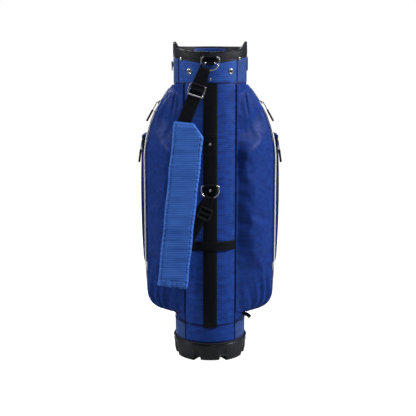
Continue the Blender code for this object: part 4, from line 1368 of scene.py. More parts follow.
@dataclass
class SidePocket:
    """One large side pocket with its zip, piping and the slim pocket on its outer face."""

    dresser: Dresser
    side: str
    rows: int = 118
    piping: float = 0.0022
    slim_back: float = 0.1903
    slim_depth: float = 0.0146
    slim_low: float = 0.270
    slim_high: float = 0.660

    @property
    def sign(self) -> int:
        """-1 on the left and 1 on the right."""
        return -1 if self.side == "left" else 1

    def place(self, points: Array) -> Array:
        """Mirrors points of the right-hand pocket to this side."""
        return np.asarray(points) * (self.sign, 1, 1)

    def folds(self, x: Array, z: Array, share: Array) -> Array:
        """Height of the gusset's folds.

        One broad billow fills the panel from the seam to the piping: it rises steeply from the
        seam, crests at a fifth of the width and falls slowly outward. Its crest moves outward
        near the bottom. Its upper edge is a soft crease that climbs outward from the seam, with
        flatter cloth and three short pleats above it, below the cuff. Slanting gathers line the
        bottom, puckers line the seam, and ripples in two sizes lie under everything.

        Args:
            x: distance from the bag's middle.
            z: height.
            share: 0 at the seam beside the spine and 1 at the piping.

        Returns:
            Heights in metres.
        """
        sway = 0.025 * np.sin(z / 0.060 + self.sign) + 0.010 * np.sin(z / 0.019)
        crest = 0.19 + 0.08 * (1 - smooth(z, 0.42, 0.66)) + 0.36 * (1 - smooth(z, 0.20, 0.42)) + sway
        rising = smooth(share / crest, 0.0, 1.0)
        falling = 1 - smooth((share - crest) / (1 - crest), 0.0, 1.0) ** 0.8
        edge = z - 0.075 * share
        below = 1 - smooth(edge, 0.585, 0.650)
        height = (0.0215 + 0.0020 * np.sin(z / 0.05)) * smooth(z, POCKET_LOW, 0.37)
        total = (0.10 + 0.90 * below) * height * np.where(share < crest, rising, falling)
        shelf = 0.0046 * bump(edge, 0.600, 0.015) * bump(share, 0.30, 0.30)
        hollow = 0.0050 * bump(edge, 0.660, 0.022) * bump(share, 0.35, 0.35)
        total += shelf - hollow
        dx, dz = x - 0.090, 0.806 - z
        far, angle = np.hypot(dx, dz), np.degrees(np.arctan2(dx, dz))
        for centre, width, size in ((4, 3.0, 0.0040), (15, 4.0, 0.0070), (30, 5.0, 0.0060)):
            wander = 3.0 * np.sin(far / 0.037 + centre)
            pleat = size * bump(angle, centre + wander, width)
            total += pleat * smooth(far, 0.012, 0.04) * (1 - smooth(far, 0.08, 0.20))
        for centre, slope, size in ((0.49, 0.55, 0.0020), (0.40, -0.40, 0.0018), (0.31, 0.60, 0.0022)):
            lane = z - centre - slope * (share - 0.5) * 0.12
            total += size * bump(lane, 0.0, 0.016) * bump(share, 0.55 + 0.2 * np.sin(centre * 40), 0.24)
        low = (1 - smooth(z, 0.17, 0.30)) * smooth(share, 0.15, 0.5)
        lean = share * 26 + (z - 0.15) / 0.022
        total += 0.0034 * low * np.sin(lean + 1.5 * np.sin(share * 9)) ** 3
        broad = 0.0026 * ripple(share * 3.0, z / 0.10, 71 + self.sign, 10)
        fine = 0.0004 * ripple(share * 11, z / 0.022, 81 + self.sign, 12)
        total += broad + fine
        ends = (1 - smooth(z, 0.145, 0.185)) + smooth(z, 0.750, 0.800)
        total += 0.0009 * ends * np.sin(share * 62 + 2 * np.sin(share * 19))
        seam = 1 - smooth(share, 0.0, 0.08)
        total += 0.0007 * seam * np.sin(z / 0.0064 + 3 * np.sin(z / 0.05))
        return total

    def body(self) -> Piece:
        """The pocket: its gusset faces the spine side, with an outer face and a front face."""
        z = silhouette(POCKET_LOW, POCKET_HIGH, self.rows)
        w = pocket_width(z)
        a = radians(44.5)
        seam = (0.1056 * sin(a), -0.1056 * cos(a))
        sections = []
        for width in w:
            front = min(0.072, width * 0.60)
            corners = [seam, (width, 0.0), (width, front), (0.074, 0.0755), (0.0747, 0.0747)]
            edge = np.linalg.norm(np.subtract(corners[1], seam))
            sections.append(filleted(corners, [min(0.008, edge / 4), 0.016, 0.0003], [34, 12, 12, 2]))
        sections = np.array(sections)
        gusset = np.arange(sections.shape[1]) <= 33
        share = np.clip(np.arange(sections.shape[1]) / 36, 0, 1)[None] * np.ones((len(z), 1))
        zz = z[:, None] * np.ones_like(share)
        hold = smooth(share, 0.0, 0.07) * (1 - smooth(share, 0.90, 0.99))
        ends = smooth(zz, 0.144, 0.160) * (1 - smooth(zz, 0.775, 0.801))
        crown = 0.0020 * np.sin(pi * np.clip(share, 0, 1))
        lift = (self.folds(sections[..., 0], zz, share) + crown) * hold * ends * gusset[None]
        column = np.arange(sections.shape[1])[None]
        face = smooth(column, 52, 56) * (1 - smooth(column, 66, 69))
        pillow = 0.0040 * bump(column, 61, 5) + 0.0018 * ripple(column / 4.0, zz / 0.05, 91 + self.sign, 9)
        lift += face * ends * pillow
        held = smooth(share, 0.0, 0.45) * (1 - smooth(column, 60, 69))
        waves = 0.0012 * np.sin(share * 37 + self.sign) * hold
        sag = (1 - smooth(zz, POCKET_LOW, 0.225)) * (0.0100 * held + waves)
        pocket = Pocket(f"side_pocket_body_{self.side}", 44.5, 135.0, z, sections, self.sign < 0, sag=sag)
        obj = pocket.build(lift)
        loop = len(obj.data.vertices) // sections.shape[1]
        free = np.zeros((sections.shape[1], loop))
        free[:, : self.rows] = (hold * ends * gusset[None] + 0.6 * face * ends).T
        free[:, : self.rows] *= smooth(z, 0.148, 0.18)[None]
        puffed(obj, (1 - free).ravel(), 1.6, 0.006, 0.004)
        return subdivided(obj)

    def outline(self, low: float, high: float, offset: float, y: float, count: int) -> Array:
        """A line round the pocket's silhouette, offset outward."""
        z = silhouette(low, high, count)
        path = np.stack([pocket_width(z), z], -1)
        tangent = unit(np.gradient(path, axis=0))
        behind = 1 - smooth(z, 0.165, 0.28) + smooth(z, 0.72, 0.77)
        path = path + np.stack([tangent[:, 1], -tangent[:, 0]], -1) * (offset - 0.005 * behind)[:, None]
        return np.stack([path[:, 0], y + 0.009 * behind, path[:, 1]], -1)

    def build(self) -> None:
        """Makes the pocket and everything sewn to it."""
        dress = self.dresser.dress
        dress(self.body(), "coated_nylon", "smooth_blue", stands_for=(f"side_pocket_{self.side}",))
        out = np.array([self.sign * 0.4, -1.0, 0.0])
        line = self.place(self.outline(0.170, 0.787, self.piping + 0.0006, 0.0, 220))
        cord = swept(f"piping_{self.side}", line, circle(self.piping, 12), out)
        dress(cord, "white_piping", "piping_white", stands_for=(f"pocket_piping_{self.side}",))
        flange = []
        for offset, y in ((-0.0024, -0.0016), (-0.0026, 0.0022)):
            flange.append(stitches(f"piping_row_{self.side}_{y}",
                self.place(self.outline(0.165, 0.790, offset, y - 0.0012, 200)), out, 0.0040, 0.0008))
        seam_z = np.linspace(0.147, 0.800, 170)
        flange.append(stitches(f"gusset_row_{self.side}",
            self.place(polar(np.full_like(seam_z, 45.6), 0.1086, seam_z)), self.place(facing(45.0)), 0.0042,
            0.0008))
        dress(joined(f"pocket_stitches_{self.side}", flange), "navy_thread", "smooth_blue")
        self.slim_pocket()
        self.zips()

    def slim_reach(self, z: Array) -> Array:
        """Depth of the slim pocket: full at mid height and two fifths of it at the ends."""
        share = np.clip((z - self.slim_low) / (self.slim_high - self.slim_low), 0, 1)
        return self.slim_depth * (0.40 + 0.60 * np.sin(pi * share) ** 0.5)

    def slim_pocket(self) -> None:
        """The narrow pocket on the outer face: a crowned pouch with piped edges and a seam."""
        z = np.linspace(self.slim_low, self.slim_high, 80)
        reach = self.slim_reach(z)
        t = np.linspace(0, 1, 80)
        end = np.minimum(1, (np.minimum(t, 1 - t) / 0.018)) ** 0.5
        rows = []
        for height, rounding, deepest in zip(z, end, reach):
            deep = deepest * (0.55 + 0.45 * rounding) + 0.0006 * sin(height / 0.021 + self.sign)
            near, far = self.slim_back, self.slim_back + deep
            corners = [(near, 0.0245), (far, 0.0245), (far, 0.0695), (near, 0.0695)]
            outline = filleted(corners, [0.005, 0.005], [5, 14, 5])
            crown = 0.0012 * np.sin(pi * (outline[:, 1] - 0.0245) / 0.045)
            outline[:, 0] += crown * (outline[:, 0] > 0.2) * rounding
            back = np.stack([np.full(8, near), np.linspace(0.0695, 0.0245, 10)[1:-1]], -1)
            loop = np.vstack([outline, back])
            rows.append(np.column_stack([loop, np.full(len(loop), height)]))
        pouch = surface(f"slim_pocket_{self.side}", self.place(np.array(rows)), cols=True, caps=True)
        self.dresser.dress(subdivided(pouch), "coated_nylon", "smooth_blue",
            stands_for=(f"accessory_pocket_{self.side}",))
        loop, edge = (
            resampled(np.column_stack([np.zeros(36), rounded_box(w, h, 0.004, 9) + (0.047, 0.465)]), count,
                closed=True)
            for w, h, count in ((0.043, 0.385, 240), (0.037, 0.379, 300))
        )
        for line, proud in ((loop, 0.0002), (edge, 0.0012)):
            line[:, 0] = self.slim_back + self.slim_reach(line[:, 2]) + proud
        cord = swept(f"slim_piping_{self.side}", self.place(loop), circle(0.0009, 8), (self.sign, 0, 0),
            closed=True)
        self.dresser.dress(cord, "seam_cord", "smooth_blue")
        row = stitches(f"slim_stitches_{self.side}", self.place(edge), (self.sign, 0, 0), 0.0040, 0.0008)
        self.dresser.dress(row, "blue_thread", "smooth_blue")

    def zips(self) -> None:
        """The shoulder zip on its arc, and the slim pocket's straight zip."""
        angles = np.radians(np.linspace(2, 37, 120))
        spoke = np.stack([np.cos(angles), 0 * angles, np.sin(angles)], -1)
        centre = np.array([SHOULDER_X, 0.0075, SHOULDER_LOW])
        track = Zip(self.dresser, f"side_{self.side}", self.place(centre + spoke * 0.35245),
            self.place(spoke), 0.0055)
        track.build(f"zip_track_side_{self.side}")
        rest = np.arcsin((0.750 - SHOULDER_LOW) / SHOULDER_RADIUS)
        out, down = np.array([cos(rest), 0, sin(rest)]), np.array([sin(rest), 0, -cos(rest)])
        seat = centre + out * 0.3535
        track.slider(self.place(seat), self.place(out), self.place(down))
        track.pull(self.place(seat + out * 0.0065 + down * 0.002), self.place(down), self.place(out))
        z = np.linspace(0.290, 0.655, 120)
        line = np.stack([np.full(120, 0.1975), np.full(120, 0.02295), z], -1)
        straight = Zip(self.dresser, f"accessory_{self.side}", self.place(line), np.array([0, -1.0, 0]),
            0.0080, "zip_tape_blue")
        straight.build(f"zip_track_accessory_{self.side}")
        places = [("", 0.640, 0.2010, 8.0)] + ([("_second", 0.612, 0.1985, 0.0)] if self.sign > 0 else [])
        for tail, height, pull_x, lean in places:
            straight.key = f"accessory_{self.side}{tail}"
            seat = self.place((0.1975, 0.0219, height))
            straight.slider(seat, np.array([0, -1.0, 0]), np.array([0, 0, -1.0]))
            hinge = self.place((pull_x, 0.0157, height - 0.002))
            straight.pull(hinge, self.place((sin(radians(lean)), 0, -cos(radians(lean)))),
                np.array([0, -1.0, 0]))


@dataclass
class Zip:
    """A zip: woven tape, two rows of teeth, sliders and their pulls."""

    dresser: Dresser
    key: str
    line: Array
    out: Array
    width: float
    tape: str = "binding"
    pitch: float = 0.0024

    def build(self, node: str) -> None:
        """Makes the tape and its teeth.

        The teeth are small blocks, set alternately left and right of the line.

        Args:
            node: the CAD node that they stand for.
        """
        out = np.broadcast_to(self.out, self.line.shape)
        tape = swept(f"zip_tape_{self.key}", self.line - unit(out) * 0.0003,
            rounded_box(self.width, 0.0009, 0.0003, 2), out)
        self.dresser.dress(tape, self.tape, "webbing_black", stands_for=(node,))
        count = int(travelled(self.line)[-1] / self.pitch)
        places = resampled(self.line, count)
        outs = unit(resampled(np.column_stack([self.line, out]), count)[:, 3:])
        tangent = unit(np.gradient(places, axis=0))
        side = np.cross(outs, tangent) * np.where(np.arange(count) % 2, 1, -1)[:, None]
        corners = np.array([[s, t, h] for h in (0.0001, 0.00085) for s,
            t in ((-0.0004, -0.0006), (0.0014, -0.0006), (0.0014, 0.0006), (-0.0004, 0.0006))])
        points = places[:, None] + side[:, None] * corners[None, :, :1] + tangent[:, None] * corners[None, :,
            1:2] + outs[:, None] * corners[None, :, 2:]
        cube = np.array([[0, 3, 2, 1], [4, 5, 6, 7], [0, 1, 5, 4], [1, 2, 6, 5], [2, 3, 7, 6], [3, 0, 4, 7]])
        flipped = cube[None] * np.ones((count, 1, 1), int)
        flipped[np.arange(count) % 2 == 0] = cube[:, ::-1]
        faces = (flipped + 8 * np.arange(count)[:, None, None]).reshape(-1, 4)
        teeth = made(f"zip_teeth_{self.key}", points.reshape(-1, 3), faces)
        teeth.data.shade_flat()
        self.dresser.dress(teeth, "seam_cord" if self.tape == "zip_tape_blue" else "black_plastic",
            "webbing_black")

    def slider(self, seat: Array, out: Array, down: Array) -> None:
        """A slider: a shield-shaped base, a waist and a bridge that carries the pull."""
        side = np.cross(out, down)
        u = np.linspace(-0.0070, 0.0070, 29)
        half = 0.0030 - 0.0007 * smooth(u, 0.0, 0.0070) - 0.0003 * (np.abs(u) > 0.0066)
        top = 0.0016 + 0.0022 * bump(u, -0.0005, 0.0036)
        section = rounded_box(2, 1, 0.35, 4)[None] * np.stack([half, top], -1)[:, None]
        section[..., 1] += top[:, None] / 2
        body = swept(f"slider_{self.key}", np.asarray(seat) + u[:, None] * down, section, out)
        t = np.linspace(0, pi, 13)
        bridge_line = np.asarray(seat) + (0.0005 + 0.0036 * np.cos(t))[:,
            None] * down + (0.0030 + 0.0010 * np.sin(t))[:, None] * out
        bridge = swept(f"bridge_{self.key}", bridge_line, rounded_box(0.0018, 0.0008, 0.0003, 2),
            side if abs(side @ out) > 0.5 else out)
        self.dresser.dress(joined(f"slider_{self.key}", [body, bridge]), "black_plastic", "moulded_black",
            f"slider_{self.key}", (f"zip_slider_{self.key}",))

    def pull(self, hinge: Array, down: Array, out: Array) -> None:
        """A pull: a cord that enters a ribbed rubber grip with a round end."""
        u = np.linspace(-0.0014, 0.0640, 110)
        grip = smooth(u, 0.0235, 0.0275)
        rib = 0.00022 * np.cos(u / 0.0022 * 2 * pi) * smooth(u, 0.032, 0.034) * (1 - smooth(u, 0.055, 0.057))
        tip = np.sqrt(np.clip(1 - np.clip((u - 0.0610) / 0.0030, 0, 1) ** 2, 0.02, 1))
        half = (0.0013 + 0.0019 * grip + rib) * tip
        thick = (0.0013 + 0.0016 * grip + rib * 0.4) * tip
        twist = 1 + 0.06 * np.sin(u / 0.0013) * (1 - grip)
        section = circle(1.0, 16)[None] * np.stack([half * twist, thick * twist], -1)[:, None]
        piece = swept(f"pull_{self.key}", np.asarray(hinge) + u[:, None] * np.asarray(down), section, out)
        self.dresser.dress(piece, "pull_rubber", "moulded_black", f"pull_{self.key}",
            (f"zip_pull_{self.key}",))


@dataclass
class FrontPockets:
    """The ball pocket low on the front, with its zip, and the valuables pocket with its flap."""

    dresser: Dresser

    def block(self, name: str, half: float, front: float, z0: float, z1: float, seed: int,
            node: str) -> Piece:
        """A boxy pocket that swells between its corners.

        Args:
            name: the piece's name.
            half: half its width at the front.
            front: y of the front face.
            z0: lowest point.
            z1: highest point.
            seed: seed of its wrinkles.
            node: the CAD node that it stands for.

        Returns:
            The dressed pocket.
        """
        z = np.linspace(z0, z1, 56)
        t = (z - z0) / (z1 - z0)
        rows = []
        for share in t:
            inset = 0.006 * (1 - min(1.0, min(share, 1 - share) / 0.06)) ** 2
            reach, wide = front - inset, half - 0.5 * inset
            base = (0.1058 * sin(radians(142)), -0.1058 * cos(radians(142)))
            corners = [base, (0.0658, 0.0845), (wide, reach), (-wide, reach), (-0.0658, 0.0845),
                (-base[0], base[1])]
            rows.append(filleted(corners, [0.0004, 0.012, 0.012, 0.0004], [2, 12, 26, 12, 2]))
        sections = np.array(rows)
        columns = sections.shape[1]
        c = np.linspace(-1, 1, columns)[None]
        edge = smooth(1 - np.abs(c), 0.10, 0.35) * (smooth(t, 0.0, 0.15) * (1 - smooth(t, 0.85, 1.0)))[:,
            None]
        lift = edge * (0.0012 + 0.0012 * ripple(c * 3, z[:, None] / 0.04, seed, 10)) - 0.0006 * edge
        lift = np.minimum(lift, 0.0004 + 0.0 * c) if node == "ball_pocket" else np.minimum(lift, 0.0002)
        piece = Pocket(name, 142.0, 218.0, z, sections).build(lift)
        return self.dresser.dress(subdivided(piece), "coated_nylon", "smooth_blue", stands_for=(node,))

    def build(self) -> None:
        """Makes both pockets, the flap, the zip and their edge cords."""
        self.block("ball_pouch", 0.068, 0.158, 0.130, 0.360, 101, "ball_pocket")
        self.block("valuables_pouch", 0.058, 0.138, 0.420, 0.655, 102, "valuables_pocket")
        cords, threads = [], []
        for half, front, z0, z1 in ((0.0648, 0.1548, 0.133, 0.357), (0.0548, 0.1348, 0.423, 0.652)):
            loop = np.column_stack([rounded_box(2 * half, z1 - z0, 0.008, 8), np.zeros(32)])
            path = resampled(np.stack([loop[:, 0], np.full(32, front), loop[:, 1] + (z0 + z1) / 2], -1), 260,
                closed=True)
            cords.append(swept(f"front_cord_{half}", path, circle(0.0012, 8), (0, 1, 0), closed=True))
            threads.append(stitches(f"front_row_{half}",
                path * (0.90, 1, 0.96) + (0, 0.0034, 0.02 * (z0 + z1)), (0, 1, 0), 0.0042, 0.0008))
        self.dresser.dress(joined("front_cords", cords), "binding", "webbing_black")
        self.dresser.dress(joined("front_stitches", threads), "blue_thread", "smooth_blue")
        self.flap()
        x = np.linspace(-0.056, 0.056, 90)
        line = np.stack([x, np.full(90, 0.15905), np.full(90, 0.325)], -1)
        zip_ = Zip(self.dresser, "ball", line, np.array([0, 1.0, 0]), 0.0080)
        zip_.build("zip_track_ball")
        zip_.slider(np.array([-0.048, 0.1601, 0.325]), np.array([0, 1.0, 0]), np.array([1.0, 0, 0]))
        zip_.pull(np.array([-0.048, 0.1663, 0.325]), np.array([0, 0, -1.0]), np.array([0, 1.0, 0]))

    def flap(self) -> None:
        """The valuables flap: a ribbed panel with round lower corners, a stitched edge and a snap."""
        x = np.linspace(-0.0515, 0.0515, 60)
        t = np.linspace(0, 1, 50)[:, None]
        corner = np.clip((np.abs(x) - 0.0395) / 0.012, 0, 1)
        bottom = 0.5605 + 0.012 * (1 - np.sqrt(1 - corner**2))
        z = 0.6537 + (bottom[None] - 0.6537) * t
        wave = 0.00012 * ripple(x[None] / 0.02, z / 0.03, 111)
        grids = []
        for y in (0.13850, 0.13985):
            grids.append(np.stack([np.broadcast_to(x[None], z.shape), y + wave * (y > 0.139), z], -1))
        loop = np.concatenate([grids[1], grids[0][:, ::-1]], 1)
        piece = surface("valuables_cover", loop, cols=True, caps=True)
        self.dresser.dress(piece, "ribbed_panel", "ribbed_blue", "flap", ("valuables_flap",))
        edge = np.stack([np.concatenate([[x[0] + 0.003], x[3:-3], [x[-1] - 0.003]]), np.full(56, 0.1400),
            np.concatenate([[0.651], bottom[3:-3] + 0.004, [0.651]])], -1)
        self.dresser.dress(stitches("flap_stitches", resampled(edge, 120), (0, 1, 0), 0.0040, 0.0008),
            "blue_thread", "ribbed_blue", "flap")
        snap = [(0.0055, 0.0), (0.0056, 0.0005), (0.0048, 0.0012), (0.0026, 0.0016), (AXIS, 0.0017),
            (AXIS, 0.0)]
        self.dresser.dress(button("flap_snap", snap, (0, 0.1401, 0.572), (0, 1, 0)), "nickel", "bright_metal",
            "flap")


# --- shoulder strap and fittings ---------------------------------------------------------------


def leaning(lean: float) -> tuple:
    """Unit vectors down a strap that leans left by an angle, and across it to the right."""
    a = radians(lean)
    return np.array([-sin(a), 0, -cos(a)]), np.array([cos(a), 0, -sin(a)])


@dataclass
class Strap:
    """Upper webbing and slide, the long pad, and the lower webbing and buckle."""

    dresser: Dresser
    loop: float = 0.00345
    upper: tuple = (-0.11115, 0.878)
    lower: tuple = (-0.11195, 0.522)
    width: float = 0.037
    pad_origin: tuple = (-0.0577, -0.1233, 0.700)
    pad_lean: float = 6.1

    def web(self, name: str, origin: tuple, lean: float, path: list, bar: tuple) -> Piece:
        """Webbing that follows a (down, outward) path and folds round a ring.

        Near the fold the band narrows by a quarter and its rows shift up or down, so that the
        fold follows the ring's curve.

        Args:
            name: the piece's name.
            origin: point where both path values are 0.
            lean: degrees to the left.
            path: (down, outward) points.
            bar: the ring bar's (y, z).

        Returns:
            The band.
        """
        down, across = leaning(lean)
        line = resampled(np.asarray(path, float), 260)
        tangent = unit(np.gradient(line, axis=0))
        normal = np.stack([-tangent[:, 1], tangent[:, 0]], -1)
        section = web_section(self.width, 0.0012)
        close = bump(line[:, 0], -0.003, 0.020)
        s = section[None, :, 0] * (1 - 0.25 * close)[:, None]
        d = line[:, :1] + normal[:, :1] * section[None, :, 1]
        o = line[:, 1:] + normal[:, 1:] * section[None, :, 1]
        centre = np.asarray(origin)
        x = np.clip(centre[0] + s * across[0], -0.0245, 0.0245)
        ring_z = bar[1] - 0.01207 - 0.02343 * np.sqrt(1 - (x / 0.02525) ** 2)
        straight = centre[2] + 0.003 * cos(radians(lean)) + s * across[2]
        shift = (ring_z - straight) * close[:, None] * 0.8
        grid = centre + d[..., None] * down + s[..., None] * across + o[..., None] * np.array([0, -1.0, 0])
        grid[..., 2] += shift
        return surface(name, grid, cols=True, caps=True)

    def frame(self, name: str, centre: tuple, lean: float, size: tuple, wire: float, depth: float,
            bar_scale: float) -> Piece:
        """A two-slot buckle: a rounded frame of oval section and a middle bar.

        Args:
            name: the piece's name.
            centre: middle of the buckle.
            lean: degrees to the left.
            size: width and height outside.
            wire: width of the frame's section.
            depth: its thickness.
            bar_scale: the middle bar's thickness as a share of depth.

        Returns:
            The buckle.
        """
        down, across = leaning(lean)
        flat = rounded_box(size[0] - wire, size[1] - wire, 0.004, 8)
        line = resampled(np.asarray(centre) + flat[:, :1] * across - flat[:, 1:] * down, 140, closed=True)
        section = rounded_box(wire, depth, min(wire, depth) * 0.42, 4)
        frame = swept(name, line, section, (0, -1, 0), closed=True)
        t = np.linspace(-1, 1, 16)[:, None]
        bar_line = np.asarray(centre) + t * across * (size[0] / 2 - wire * 0.6)
        bar = swept(name + "_bar", bar_line, rounded_box(wire * 0.95, depth * bar_scale, wire * 0.2, 4),
            (0, -1, 0))
        return joined(name, [frame, bar])

    def pad(self) -> Piece:
        """The padded strap: a quilted closed form, thick in its middle and thin at its hem.

        Half its thickness is a superellipse across the width. A stitched channel 8.5 mm inside
        the edge dents both faces, the last 20 mm is a folded hem with small puckers, and slow
        ripples and shallow cross folds cover the rest.

        Returns:
            The pad.
        """
        down, across = leaning(self.pad_lean)
        length, half = 0.474, 0.043
        rows = np.linspace(0, 1, 200)
        v = length * rows
        chamfer = np.clip((0.037 - v) / 0.037, 0, 1)
        right = half - 0.031 * chamfer
        left = np.full_like(v, -half)
        soft = 0.0045
        round_end = lambda d: soft * (1 - np.sqrt(np.clip(1 - (1 - np.clip(d / soft, 0, 1)) ** 2, 0, 1)))
        right = right - round_end(v) - round_end(length - v)
        right = right + 0.0007 * np.sin(v / 0.017) + 0.0003 * np.sin(v / 0.0021)
        left = left + round_end(v) + round_end(length - v)
        left = left - 0.0007 * np.sin(v / 0.019 + 1) - 0.0003 * np.sin(v / 0.0023)
        c = np.linspace(-1, 1, 49)
        c = np.sign(c) * (1 - (1 - np.abs(c)) ** 1.25)
        across_at = left[:, None] + (right - left)[:, None] * (c + 1)[None] / 2
        from_edge = np.minimum(np.minimum(across_at - left[:, None], right[:, None] - across_at),
            np.minimum(v, length - v)[:, None])
        thick = 0.0016 + 0.0060 * np.clip(1 - (1 - np.clip(from_edge / 0.0120, 0, 1)) ** 2.4, 0, 1)
        thick -= 0.0016 * bump(from_edge, 0.0085, 0.0016)
        hem = smooth(v, length - 0.024, length - 0.018)[:, None]
        thick -= 0.0013 * bump(v, length - 0.021, 0.0016)[:, None]
        gathers = hem * 0.0013 * np.sin(across_at / 0.0036 + 2 * np.sin(across_at / 0.012))
        thick += gathers * smooth(from_edge, 0.001, 0.006)
        edge_puckers = 0.0008 * np.sin(v / 0.0021 + 2 * np.sin(v / 0.021))[:, None]
        thick += edge_puckers * bump(from_edge, 0.0050, 0.0035)
        body = smooth(from_edge, 0.006, 0.016)
        broad = 0.0005 * ripple(across_at / 0.014, v[:, None] / 0.035, 121, 9)
        fine = 0.0003 * ripple(across_at / 0.03, v[:, None] / 0.010, 122, 9)
        thick += body * (broad + fine)
        thick[:, (0, -1)] = 0.0004
        origin = np.asarray(self.pad_origin)
        waves = 0.0016 * np.sin(across_at / 0.0062) + 0.0010 * np.sin(across_at / 0.0023 + 1) + 0.0016
        ragged = v[:, None] - hem * waves
        mid = origin + ragged[..., None] * down + across_at[..., None] * across
        face = np.array([0, -1.0, 0])
        front = mid + face * np.minimum(thick, 0.0072)[..., None]
        back = mid - face * np.minimum(thick, 0.0070)[..., None]
        return surface("shoulder_pad", np.concatenate([front, back[:, ::-1]], 1), cols=True, caps=True)

    def build(self) -> None:
        """Makes the strap's pieces and its stitches."""
        dress, g = self.dresser.dress, self.loop
        crest = arc(-0.003, 0, g, 270, 90, 18)
        upper = self.web("upper_web", (-0.0145, self.upper[0], 0.844), 22, [(0.028, -g), *crest, (0.185, g)],
            self.upper)
        dress(upper, "webbing", "webbing_black", "strap", ("strap_upper_web",))
        slide_y = self.upper[0] - g - 0.0006 - 0.0018
        slide = self.frame("slide", (-0.0375, slide_y, 0.788), 17, (0.048, 0.034), 0.0042, 0.003, 0.9)
        dress(slide, "nickel", "bright_metal", "strap", ("strap_slide",))
        down = leaning(17)[0]
        turn = np.linspace(0, 1, 60)[:, None]
        along = -0.0195 + 0.0245 * turn
        rise = 0.0052 * smooth(turn, 0.0, 0.14) * (1 - smooth(turn, 0.80, 1.0)) + 0.0007 * np.sin(turn * 9)
        wrap = np.array([-0.0375, slide_y + 0.0026, 0.788]) + down * along + np.array([0, -1.0, 0]) * rise
        dress(band_on("slide_wrap", wrap, 0.037, (0, -1, 0)), "webbing", "webbing_black", "strap")
        pad = self.pad()
        dress(pad, "ribbed_pad", "ribbed_blue", "strap", ("strap_pad",))
        back = -(self.lower[0] + 0.1101)
        tail = [(0.055, g), *arc(-0.003, 0, g, 90, 270, 18), (0.020, -g), (0.045, -back), (0.252, -back)]
        lower = self.web("lower_web", (-0.003, self.lower[0], 0.487), 26.5, tail, self.lower)
        dress(lower, "webbing", "webbing_black", "strap_tail", ("strap_lower_web",))
        buckle = self.frame("buckle", (-0.0160, self.lower[0] - g - 0.0029, 0.444), 24, (0.040, 0.036), 0.006,
            0.004, 0.9)
        dress(buckle, "black_plastic", "moulded_black", "strap_tail", ("strap_buckle",))
        self.threads()

    def threads(self) -> None:
        """Stitches round the pad, 8.5 mm inside its edge, and across its hem and webbing."""
        down, across = leaning(self.pad_lean)
        origin = np.asarray(self.pad_origin)
        inset = 0.0085
        outline = [(-0.043 + inset, inset), (0.0105, inset), (0.043 - inset, 0.0405),
            (0.043 - inset, 0.474 - inset), (-0.043 + inset, 0.474 - inset)]
        path = np.array([origin + u * across + v * down for u, v in [*outline, outline[0]]])
        rows = []
        for y in (-0.0062, 0.0061):
            rows.append(stitches(f"pad_row_{y}", resampled(path, 400) + (0, y, 0), (0, y, 0), 0.0046, 0.0009))
        hem = np.array([origin + u * across + 0.453 * down
            + (0, -0.0060, 0) for u in np.linspace(-0.040, 0.040, 30)])
        rows.append(stitches("pad_hem_row", hem, (0, -1, 0), 0.0046, 0.0009))
        self.dresser.dress(joined("pad_stitches", rows), "blue_thread", "ribbed_blue", "strap")
        down, across = leaning(22)
        start = np.array([-0.0145, self.upper[0] - self.loop - 0.0007, 0.844])
        bars = []
        for level in (0.014, 0.019, 0.092):
            line = start + level * down + np.linspace(-0.016, 0.016, 16)[:, None] * across
            bars.append(stitches(f"web_bar_{level}", line, (0, -1, 0), 0.003, 0.0009))
        self.dresser.dress(joined("strap_stitches", bars), "black_thread", "webbing_black", "strap")


